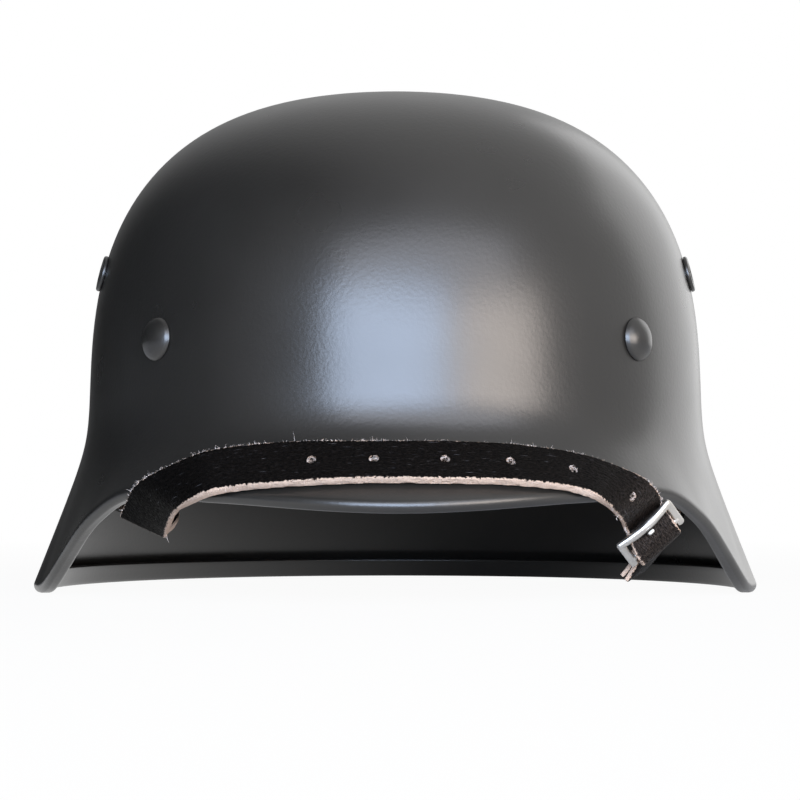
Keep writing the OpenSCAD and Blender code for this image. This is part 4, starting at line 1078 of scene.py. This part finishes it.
def addFibres(line, first, last):
    # loose fibres of the hide along the cut edges, most of them on the upper edge, and the burr
    # that the punch leaves in the upper half of each hole
    random = np.random.default_rng(fibreShape["seed"])
    out, ahead = lineOut(line)
    parts = [edgeHairs(line, out, ahead, first, last, edge, random)
             for edge in ((slice(0, 3), -1, fibreShape["upper"], 0.5),
                          (slice(3, 6), 1, fibreShape["lower"], 0.36))]
    parts += [holeHairs(line, k * strapShape["steps"] / 3, random) for k in holePlaces]
    # a loose thread hangs at the fold's lower corner, and a longer hair near the buckle
    corner = line[first, 3:6] - out[first] * 1.2
    u = np.linspace(0, 1, 9)[:, None]
    thread = corner + np.hstack([0.75 * u ** 2, -0.5 * u, -2.5 * u])
    near = lineAt(line, 48.4 * strapShape["steps"] / 3)
    low = near[0] - near[2] * strapShape["width"] / 2
    hook = low + np.hstack([-0.6 * np.sin(2.6 * u), -0.4 * u, -1.9 * u + 0.5 * u ** 3])
    parts += [tube(path, radius * (1.1 - 0.7 * u[:, 0]), 5)
              for path, radius in ((thread, 0.07), (hook, 0.06))]
    return addPiece("strapFibres", *joined(parts), paleFibre, 60)


def frontWearAndSheen(count, cutAt):
    # rubbed finish with a painted sheen: little at the left corner, more towards the middle and
    # most of all at the buckle
    w, steps, row = wearAndSheenShape, strapShape["steps"], np.arange(count)
    wear = (w["along"] * np.clip(row / steps / w["rise"], w["least"], 1)
            + w["peak"] * np.exp(-((row - w["peakRow"] * steps) / w["peakSpread"]) ** 2))
    wear[cutAt:] = w["tip"]
    return wear


def addFront(line, cutAt, trim, foldRows):
    # the strap over the visor, which is punched, and its thin tip past the buckle's front bar
    wear = frontWearAndSheen(len(line), cutAt)
    # the fold's rows get a painted greyish sheen along the bend, partly rubbed finish as well
    front = addStrap("chinStrapFront", [np.concatenate([foldRows, line[trim:cutAt + 1]])], 3,
                     np.concatenate([np.full(len(foldRows), wearAndSheenShape["fold"]),
                                     wear[trim:cutAt + 1]]))
    points, faces = rod(strapShape["hole"], -4, 2, 24)
    holes = [leatherCutter(onFrame(points, *lineAt(line, k * strapShape["steps"] / 3)), faces)
             for k in holePlaces]
    cutAway(front, holes, 50)
    return front, addStrap("chinStrapTip", [line[cutAt:]], 4, wear[cutAt:])


def tailEnd(side, out):
    # both tails end between the layers of the doubled strap, below the bale
    down = fixShape["drop"] + fixShape["length"] + fixShape["past"]
    return onFrame([[0, -down, out]], *baleFrame(side))[0]


def addLeftTail(foldEnd, foldLeave, foldAcross):
    # it runs from the bale to the fold, so that its grain stays on the fold's outside
    end = tailEnd(-1, 0.1)
    middle = bentPath([foldEnd, foldEnd + foldLeave * 12 + [10, 0, 9], end + [2, -9, -11], end])
    rows = tailRows(-1, middle, foldAcross, strapShape["thick"], 1.0)[::-1]
    return addStrap("strapTailLeft", [rows], 5, wearAndSheenShape["tail"]), end


def addRightTail(start):
    # it is two layers that sag below the buckle and turn edge on there
    end, thick = tailEnd(1, 1.2), strapShape["tailLayer"]
    middle = through([start, [75.3, -76, 12.6], [73.3, -70, 9.2], [76.6, -58, 10.6],
                      [84, -42, 18], end + [-1.5, -5, -7], end], strapShape["steps"])
    rows = tailRows(1, middle, acrossBuckle, thick, 0.32)
    out, _ = lineOut(rows)
    apart = 0.1 + 0.3 * np.exp(-((np.arange(len(middle)) - 24) / 9.0) ** 2)[:, None]
    layers = [bandRows(rows[:, :3] + out * lift, rows[:, 3:6] + out * lift, thick)
              for lift in (thick + apart, -apart)]
    return addStrap("strapTailRight", layers, 6, wearAndSheenShape["tail"]), end


def addChinStrap():
    line = through(strapRows(), strapShape["steps"])
    cutAt = 19 * strapShape["steps"]       # under the buckle's front bar
    trim = 1                               # the fold's bend takes the place of these rows
    stub = buckleShape["stub"]
    foldRows, foldEnd, foldLeave, foldAcross = leftFold(line[trim:])
    front, tip = addFront(line, cutAt, trim, foldRows)
    left, endLeft = addLeftTail(foldEnd, foldLeave, foldAcross)
    stubEnd = stubPlace(stub - 1.2, 1.5)
    right, endRight = addRightTail(stubEnd)
    fibres = addFibres(line, trim, cutAt)
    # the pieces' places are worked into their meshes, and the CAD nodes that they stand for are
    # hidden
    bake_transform(front)
    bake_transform(fibres)
    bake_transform(tip)
    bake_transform(left)
    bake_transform(right)
    for piece, node in ((front, "chinstrap_front"), (tip, "chinstrap_front"),
                        (left, "strap_tail_left"), (right, "strap_tail_right")):
        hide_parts(node)


addChinStrap()
print("chin strap cut and laid")


def smoothCast(name, parts, voxel, rounds, material):
    # parts melted into one casting: a fine voxel remesh, then smoothed like a fillet
    piece = addPiece(name, *joined(parts), material, 50)
    remesh = piece.modifiers.new("melt", "REMESH")
    remesh.mode, remesh.voxel_size = "VOXEL", voxel * 0.001
    soften = piece.modifiers.new("soften", "SMOOTH")
    soften.factor, soften.iterations = 0.5, rounds
    settle(piece)
    piece.data.shade_smooth()
    if not piece.data.materials:
        piece.data.materials.append(material)
    return piece


def boxLoft(x, halfY, halfZ, power, sides=28):
    # a squarish section, a superellipse, carried along stations (place, half sizes)
    turn = around(sides)
    c, s = np.cos(turn), np.sin(turn)
    ringY, ringZ = (np.sign(k) * np.abs(k) ** (2 / power) for k in (c, s))
    halfY, halfZ = (np.broadcast_to(half, len(x))[:, None] for half in (halfY, halfZ))
    grid = np.stack([x[:, None, 0] + 0 * ringY, x[:, None, 1] + halfY * ringY,
                     x[:, None, 2] + halfZ * ringZ], -1)
    return grid, cappedGrid(len(x), sides)


def turnedLoft(*given):
    # the same loft with its length along y
    grid, faces = boxLoft(*given)
    return grid[..., [1, 0, 2]], [face[::-1] for face in faces]


def addBuckle():
    b = buckleShape
    wide = b["half"] + b["side"]
    # front bar along x, arched outwards in its middle, full in the middle and thinner at its ends
    x = np.linspace(-wide + 0.5, wide - 0.5, 41)
    share = 1 - (x / (wide - 0.5)) ** 2
    bar = np.column_stack([x, np.full(41, -b["pitch"]), b["arch"] * share ** 1.3])
    parts = [boxLoft(bar, b["barWidth"] / 2 * (0.84 + 0.16 * share),
                     b["barHeight"] / 2 * (0.8 + 0.2 * share), 2.3)]
    x = np.linspace(-b["half"] - 1, b["half"] + 1, 9)
    parts.append(boxLoft(np.column_stack([x, 0 * x, 0 * x]), b["rear"], b["rear"], 2.0))
    for side in sideName:
        # flat side plates, whose corners are rounded off in plan
        y = np.linspace(-b["pitch"] - 0.6, b["tail"] + 0.6, 41)
        inside = np.clip(np.minimum(y - y[0], y[-1] - y) / b["corner"], 0, 1)
        half = b["side"] / 2 - b["corner"] * (1 - np.sqrt(np.clip(1 - (1 - inside) ** 2, 0, 1)))
        stations = np.column_stack([y, np.full(41, side * (b["half"] + b["side"] / 2)), 0 * y])
        parts.append(turnedLoft(stations, half, b["plate"] / 2, 7.0))
    parts = [(onFrame(p, *buckleFrame), f) for p, f in parts]
    fitted(smoothCast("buckleFrame", parts, *b["frameMelt"], aluminium), "buckle_frame",
           "buckle_frame")


def addTongue():
    b = buckleShape
    eye = b["rear"] + b["play"]
    ends = -b["pitch"] + b["barWidth"] / 2
    rest = b["barHeight"] / 2 + b["arch"]
    points, faces = spun([[eye, -b["eyeHalf"]], [eye + b["tongueEye"], -b["eyeHalf"]],
                          [eye + b["tongueEye"], b["eyeHalf"]], [eye, b["eyeHalf"]]], 40, True)
    # stations of the tongue: place along it, place outwards, half its thickness
    path = through([[-eye - 0.4, 0.1, 0.75], [ends + 3.6, 0.35, 0.6], [ends + 1.6, 1.3, 0.65],
                    [ends + 0.3, rest + 0.35, 0.65], [ends - 0.5, rest + 0.85, 0.55],
                    [ends - 0.95, rest + 0.8, 0.35]], 8)
    stations = np.column_stack([path[:, 0], 0 * path[:, 0], path[:, 1]])
    bar = turnedLoft(stations, b["tongueWidth"] / 2 - 0.1, path[:, 2], 3.2)
    parts = [(onFrame(p, *buckleFrame), f) for p, f in ((points[:, [2, 0, 1]], faces), bar)]
    fitted(smoothCast("buckleTongue", parts, *b["tongueMelt"], aluminium), "buckle_tongue",
           "buckle_tongue")


addBuckle()
addTongue()
print("buckle cast")


def ovalBand(inset, thick, z, height, lip, rows=1):
    # a ring whose section is a tall rectangle with rounded corners
    section = roundedBox(0, 0, thick, height, lip, 4)
    if rows > 1:
        side = np.linspace(height - lip, lip, rows + 1)[1:-1]
        section = np.concatenate([section[:8], np.column_stack([0 * side, side]), section[8:],
                                  np.column_stack([0 * side + thick, side[::-1]])])
    azimuth = np.linspace(0, 360, 320, endpoint=False)[:, None]
    r = planRadius(azimuth) - inset - thick + section[None, :, 0]
    grid = polar(azimuth, r, z + section[None, :, 1] + 0 * azimuth)
    return grid, gridFaces(*grid.shape[:2], True, True)


def rivetShape(bottom, top, shank, head):
    # a low domed head at each end of a shank
    rise = linerShape["headRise"]
    turn = np.linspace(0, np.pi / 2, 7)
    dome = np.column_stack([head * np.sin(turn) ** 0.8, rise * np.cos(turn)])
    low = dome * [1, -1] + [0, bottom]
    high = dome + [0, top]
    return spun(np.concatenate([low, [[shank, bottom], [shank, top]], high[::-1]]), 24)


def addLinerPiece(name, shape, material, body, node, slot, sharp=38, **more):
    return fitted(addPiece(name, *shape, material, sharp, **more), body, node)


def springTurn(azimuth, along):
    return azimuth + along / (planRadius(azimuth) - outerIn) * 180 / np.pi


def springSkin(azimuth):
    # feet on the outer band, the middle on the inner band, and a smooth step between them
    g = linerShape
    along = np.linspace(-g["springHalf"], g["springHalf"], 91)
    rise = np.clip((g["springHalf"] - 2 * g["footHalf"] - np.abs(along)) / 7, 0, 1)
    middle = (outerIn + g["springT"] / 2 + g["seat"]
              + (g["gap"] - g["springT"] - 2 * g["seat"]) * eased(rise))
    half = g["springT"] / 2 * np.hypot(1, np.gradient(middle, along))
    # the feet's corners are rounded in the strip's own plane
    end = np.clip((g["springHalf"] - np.abs(along)) / g["footRound"], 0, 1)
    tall = g["springH"] / 2 - g["footRound"] * (1 - np.sqrt(1 - (1 - end) ** 2))
    ring = np.array([[-1, -1], [-0.6, -1.02], [0.6, -1.02], [1, -1], [1, 1], [0.6, 1.02],
                     [-0.6, 1.02], [-1, 1]])
    a = springTurn(azimuth, along)[:, None]
    r = planRadius(a) - (middle[:, None] + half[:, None] * ring[:, 0])
    z = g["springZ"] + g["springH"] / 2 + tall[:, None] * ring[:, 1]
    return polar(a, r, z), cappedGrid(len(along), len(ring))


def addBandsAndSprings():
    g = linerShape
    for name, inset, low, height in (("outer", g["outerInset"], g["outerZ"], g["outerH"]),
                                     ("inner", innerInset, g["innerZ"], g["innerH"])):
        addLinerPiece(name + "Band", ovalBand(inset, g["band"], low, height, g["lip"]),
                      bandAlloy, "shell", name + "_band", "aluminium")
    addLinerPiece("leafSprings", joined([springSkin(a) for a in g["springAt"]]), zincSteel,
                  "shell", "leaf_springs", "steel")
    # two rivets hold each spring's feet on the outer band, and one its middle on the inner band
    past, shank = 0.15, (g["rivet"], g["rivetHead"])
    foot = rivetShape(-g["springT"] - g["seat"] - past, g["band"] + past, *shank)
    mid = rivetShape(-g["band"] - g["seat"], g["springT"] + g["seat"] + past, *shank)
    parts, z = [], g["springZ"] + g["springH"] / 2
    for a in g["springAt"]:
        for sign in sideName:
            at = springTurn(a, sign * (g["springHalf"] - g["footHalf"]))
            parts.append((onFrame(foot[0], *ovalFrame(at, outerIn, z)), foot[1]))
        parts.append((onFrame(mid[0], *ovalFrame(a, innerInset, z)), mid[1]))
    addLinerPiece("springRivets", joined(parts), zincSteel, "shell", "spring_rivets", "steel")
    hold = rivetShape(innerInset - leatherMid - g["leather"] / 2 - 0.06,
                      innerInset - flapMid + g["leather"] / 2 + 0.06, *shank)
    parts = [(onFrame(hold[0], *ovalFrame(15 + 30 * i, innerInset, g["leatherRivetZ"])), hold[1])
             for i in range(12)]
    addLinerPiece("leatherRivets", joined(parts), aluminium, "shell", "leather_rivets",
                  "aluminium")
    bottom, top = g["leatherRivetZ"] + g["rivetHead"] + 0.3, g["innerZ"] + g["innerH"] - 1
    pad = ovalBand(feltInset, g["felt"], bottom, top - bottom, g["feltLip"], 14)
    felt = addLinerPiece("feltPad", pad, greyFelt, "shell", "felt_pad", "felt")


leatherShape = {"fingers": 8, "columns": 22, "slit": 85.0, "rise": 50.0, "power": 2 / 2.3,
                "up": (9, 22, 34, 45, 55, 63, 69, 74.5, 79),
                "share": (0.95, 0.94, 0.93, 0.91, 0.87, 0.81, 0.73, 0.6, 0.36), "cup": 1.5,
                "stringUp": 71.75, "stringHole": 2.9, "airHole": 1.7,
                "airHoles": ((0.0, 44.0), (-0.2, 26.0), (0.2, 26.0), (-0.17, 58.0),
                             (0.17, 58.0))}


def fingerMark(azimuth, up):
    # the finger's curve up to the crown: a squarish quarter ellipse
    g = leatherShape
    c, s = np.cos(np.radians(up)), np.sin(np.radians(up))
    return np.stack([(planRadius(azimuth) - leatherMid) * c ** g["power"],
                     g["slit"] + g["rise"] * s ** g["power"] + 0 * azimuth], -1)


def leatherMarks():
    # rows from the flap's free edge, round the fold, up the sweatband and along the fingers
    g = leatherShape
    foldZ, foldR = linerShape["innerZ"] - 0.5, (leatherMid - flapMid) / 2
    turn = np.linspace(0, np.pi, 13)
    inset = np.concatenate([[flapMid] * 5, flapMid + foldR * (1 - np.cos(turn)),
                            [leatherMid] * 16])
    height = np.concatenate([np.linspace(foldZ + linerShape["flapUp"], foldZ + 1.5, 5),
                             foldZ - foldR * np.sin(turn),
                             np.linspace(foldZ, g["slit"], 17)[1:]])
    up = np.concatenate([[2.0, 4.0, 6.0], np.linspace(9, 79, 44), [80.2, 81.0]])
    share = np.concatenate([np.ones(len(inset)), [0.985, 0.968, 0.958],
                            np.interp(up[3:47], g["up"], g["share"]), [0.27, 0.15]])
    share = share[:, None, None]
    finger = np.arange(g["fingers"])[None, :, None]
    c = np.linspace(-0.5, 0.5, g["columns"] + 1)[None, None, :]
    azimuth = (finger + 0.5 + c * share) * 360 / g["fingers"]
    start = len(inset)
    ring = np.stack([planRadius(azimuth[:start]) - inset[:, None, None],
                     height[:, None, None] + 0 * azimuth[:start]], -1)
    mark = np.concatenate([ring, fingerMark(azimuth[start:], up[:, None, None])])
    # the fingers cup a little across their width, and the hide is not quite even
    lift = np.concatenate([np.zeros(start), np.minimum(1, up / 30)])[:, None, None]
    cup = -g["cup"] * lift * (2 * c) ** 2 * np.minimum(1, share) ** 2
    reach = np.concatenate([height - height[0], 60 + up])[:, None, None]
    uv = np.stack([azimuth * 1.6, reach + 0 * azimuth], -1).reshape(-1, 2)
    return azimuth, mark, cup, uv, start - 1


def addLinerLeather():
    g = leatherShape
    azimuth, mark, cup, uv, start = leatherMarks()
    along = np.gradient(mark, axis=0)
    out = outward(along)
    layers = []
    for side in (0.5, -0.5):
        m = mark + out * (side * linerShape["leather"] + cup)[..., None]
        layers.append(polar(azimuth, m[..., 0], m[..., 1]).reshape(-1, 3))
    count = azimuth.size
    index = np.arange(count).reshape(azimuth.shape)
    a, b, d, e = index[:-1, :, :-1], index[:-1, :, 1:], index[1:, :, :-1], index[1:, :, 1:]
    quads = [np.stack([a, d, e, b], -1), np.stack([a, b, e, d], -1) + count]
    # the walls between the two faces: the free edges below and above, and both sides of each slit
    walls = [(index[0, :, :-1], index[0, :, 1:]), (index[-1, :, 1:], index[-1, :, :-1]),
             (index[start + 1:, :, 0], index[start:-1, :, 0]),
             (index[start:-1, :, -1], index[start + 1:, :, -1])]
    quads += [np.stack([p, q, q + count, p + count], -1) for p, q in walls]
    faces = np.concatenate([quad.reshape(-1, 4) for quad in quads])
    leather = addLinerPiece("linerLeather", (np.concatenate(layers), faces), russetLeather,
                            "shell", "liner_leather", "tan_leather", 55,
                            uv=np.concatenate([uv, uv]))
    # one hole near each tip for the string, and five air holes in each finger
    spots = [(0.0, g["stringUp"], g["stringHole"])]
    spots += [(aside, up, g["airHole"]) for aside, up in g["airHoles"]]
    parts = []
    for finger in range(g["fingers"]):
        for aside, up, radius in spots:
            at = (finger + 0.5 + aside) * 360 / g["fingers"]
            here, below, above = (polar(at, *m) for m in fingerMark(
                np.array([at] * 3), np.array([up, up - 1, up + 1])))
            side, ahead = polar(at + 90, 1.0, 0.0), unit(above - below)
            points, faces = rod(radius, -5, 5, 20)
            parts.append((onFrame(points, here, side, ahead, np.cross(side, ahead)), faces))
    points, faces = joined(parts)
    cutAway(leather, [addPiece("cutter", points, faces, russetLeather, 38,
                               np.zeros((len(points), 2)))], 55)


cordShape = {"thick": 1.8, "sides": 12, "pitch": 4.0, "depth": 0.22, "tail": 0.82, "fray": 0.25,
             "knot": (1.05, 0.62, 0.62), "knotAt": (0, 1.6, -3.4)}


def stringPath(azimuth):
    # over and under the fingers, through the hole near each tip
    g = leatherShape
    s = np.sin(np.radians(azimuth * g["fingers"] / 2 - 90))
    wave = s / np.hypot(s, 0.16) * (linerShape["leather"] / 2 + cordShape["thick"] / 2 + 0.3)
    m = fingerMark(azimuth, g["stringUp"])
    t = fingerMark(azimuth, g["stringUp"] + 2) - fingerMark(azimuth, g["stringUp"] - 2)
    n = outward(t)
    return polar(azimuth, m[..., 0] + n[..., 0] * wave, m[..., 1] + n[..., 1] * wave)


def twisted(grid, sides, pitch, depth, path):
    # a laid cord: the round section swells and sinks in three strands that turn along it
    gone = goneAlong(path)
    turns = np.round(gone[-1] / pitch) / gone[-1] * gone
    angle = around(sides)
    swell = depth * np.abs(np.cos(1.5 * (angle[None, :] - 2 * np.pi * turns[:, None]))) - depth / 2
    grid = grid.reshape(len(path), sides, 3)
    centre = path[:, None]
    return centre + (grid - centre) * (1 + swell[..., None])


def addDrawstring():
    c = cordShape
    path = stringPath(np.linspace(0, 360, 1100, endpoint=False))
    points, faces = tube(path, c["thick"] / 2 - 0.04, c["sides"], True)
    points = twisted(points, c["sides"], c["pitch"], c["depth"], path)
    # the two ends are tied at the front, in an overhand knot with short tails
    t = np.linspace(0, 2 * np.pi, 90)
    at = stringPath(np.array([0.0]))[0] + c["knotAt"]
    knot = np.column_stack([np.sin(t) + 2 * np.sin(2 * t), np.cos(t) - 2 * np.cos(2 * t),
                            -1.5 * np.sin(3 * t)]) * c["knot"] + at
    parts = [(points, faces), tube(knot[:-1], c["tail"], 10, True)]
    for side in sideName:
        u = np.linspace(0, 1, 26)[:, None]
        tail = at + np.hstack([side * (1.0 + 6.5 * u), 0.6 - 1.0 * u, -0.5 - 9 * u ** 2 - 2 * u])
        parts.append(tube(tail, c["tail"] + c["fray"] * (u[:, 0] > 0.93), 10))
    addLinerPiece("drawstring", joined(parts), cottonCord, "shell", "drawstring", "cord", 60)


addBandsAndSprings()
addLinerLeather()
addDrawstring()
print("liner riveted and laced")


def foldedRound(r, flat, outer, inner, steps):
    # a strip's middle line up one side, round the bar and down the other, as (out, along)
    start = np.arccos(flat / r)
    turn = np.linspace(-start, np.pi + start, steps)
    return np.concatenate([np.column_stack([0 * outer + flat, outer]),
                           np.column_stack([r * np.cos(turn), r * np.sin(turn)]),
                           np.column_stack([0 * inner - flat, inner])])


def addFixings(side):
    g, name = fixShape, sideName[side]
    node, place, thick = name.lower(), baleFrame(side), strapShape["thick"]
    # a closed rectangle of wire with round corners
    flat = roundedBox(-g["half"], -g["drop"], g["half"], 0, g["corner"], 9)
    path = np.pad(flat, ((0, 0), (0, 1)))
    points, faces = tube(path, g["wire"], 24, True, across=[0, 0, 1.0])
    addLinerPiece("bale" + name, (onFrame(points, *place), faces), zincSteel, "bale_" + node,
                  "bale_" + node, "steel", 60)
    # one strip of leather goes up the outside, round the wire and down the inside
    r = g["wire"] + g["slack"] + thick
    flat = thick + strapShape["apart"]
    low = r * math.sin(-math.acos(flat / r))
    down = np.linspace(-g["length"] - g["past"], low - 0.5, 12)
    strip = foldedRound(r, flat, down, down[::-1] + g["past"], 44)
    local = np.column_stack([0 * strip[:, 0], strip[:, 1] - g["drop"], strip[:, 0]])
    half = np.array([strapShape["width"] / 2, 0, 0])
    rows = bandRows(onFrame(local - half, *place), onFrame(local + half, *place), thick)
    points, faces, uv, attributes = strapSkin(rows, 11 + side, wearAndSheenShape["loop"])
    addLinerPiece("strapLoop" + name, (points, faces), blackLeather, "bale_" + node,
                  "strap_loop_" + node, "black_leather", 50, uv=uv, attributes=attributes)
    points, faces = rivetShape(-thick - 0.2, thick + 0.2, g["studShank"], g["studHead"])
    points = onFrame(points + [0, -g["drop"] - g["studDrop"], 0], *place)
    addLinerPiece("strapStud" + name, (points, faces), aluminium, "bale_" + node,
                  "strap_stud_" + node, "aluminium")


def addBuckleLoop():
    # the short strap's thinned end, folded round the rear bar and slotted for the tongue
    b = buckleShape
    r = b["rear"] + b["loopGap"] + b["loop"]
    flat = b["loop"] + strapShape["apart"]
    ends = np.linspace(-b["stub"], -r * math.sin(math.acos(flat / r)) - 0.4, 10)
    # the bar's bend is on the near side, and both layers run off along the stub
    path = foldedRound(r, flat, ends, ends[::-1], 40)
    middle = stubPlace(-path[:, 1:], path[:, :1])
    half = strapShape["width"] / 2 * acrossBuckle
    rows = bandRows(middle + half, middle - half, b["loop"])
    points, faces, uv, attributes = strapSkin(rows, 21, wearAndSheenShape["stub"])
    loop = addPiece("buckleLoop", points, faces, blackLeather, 50, uv, attributes)
    x, y, z = b["loopSlot"]
    box = [[sx * x, sy * y - 1, sz * z] for sz in (-1, 1) for sy in (-1, 1) for sx in (-1, 1)]
    cutter = leatherCutter(onFrame(box, *buckleFrame), [
        [0, 2, 3, 1], [4, 5, 7, 6], [0, 1, 5, 4], [2, 6, 7, 3], [0, 4, 6, 2], [1, 3, 7, 5]])
    cutAway(loop, [cutter], 50)
    fitted(loop, "chinstrap", "buckle_loop")


for side in sideName:
    addFixings(side)
addBuckleLoop()
print("strap fixings hung")


def finishCadNodes():
    # the washers and brackets keep their CAD shapes and get the plated finish
    for name in ("vent_washer_left", "vent_washer_right", "pin_washers", "bale_bracket_left",
                 "bale_bracket_right", "bracket_rivets"):
        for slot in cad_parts[name].material_slots:
            slot.material = zincSteel


finishCadNodes()
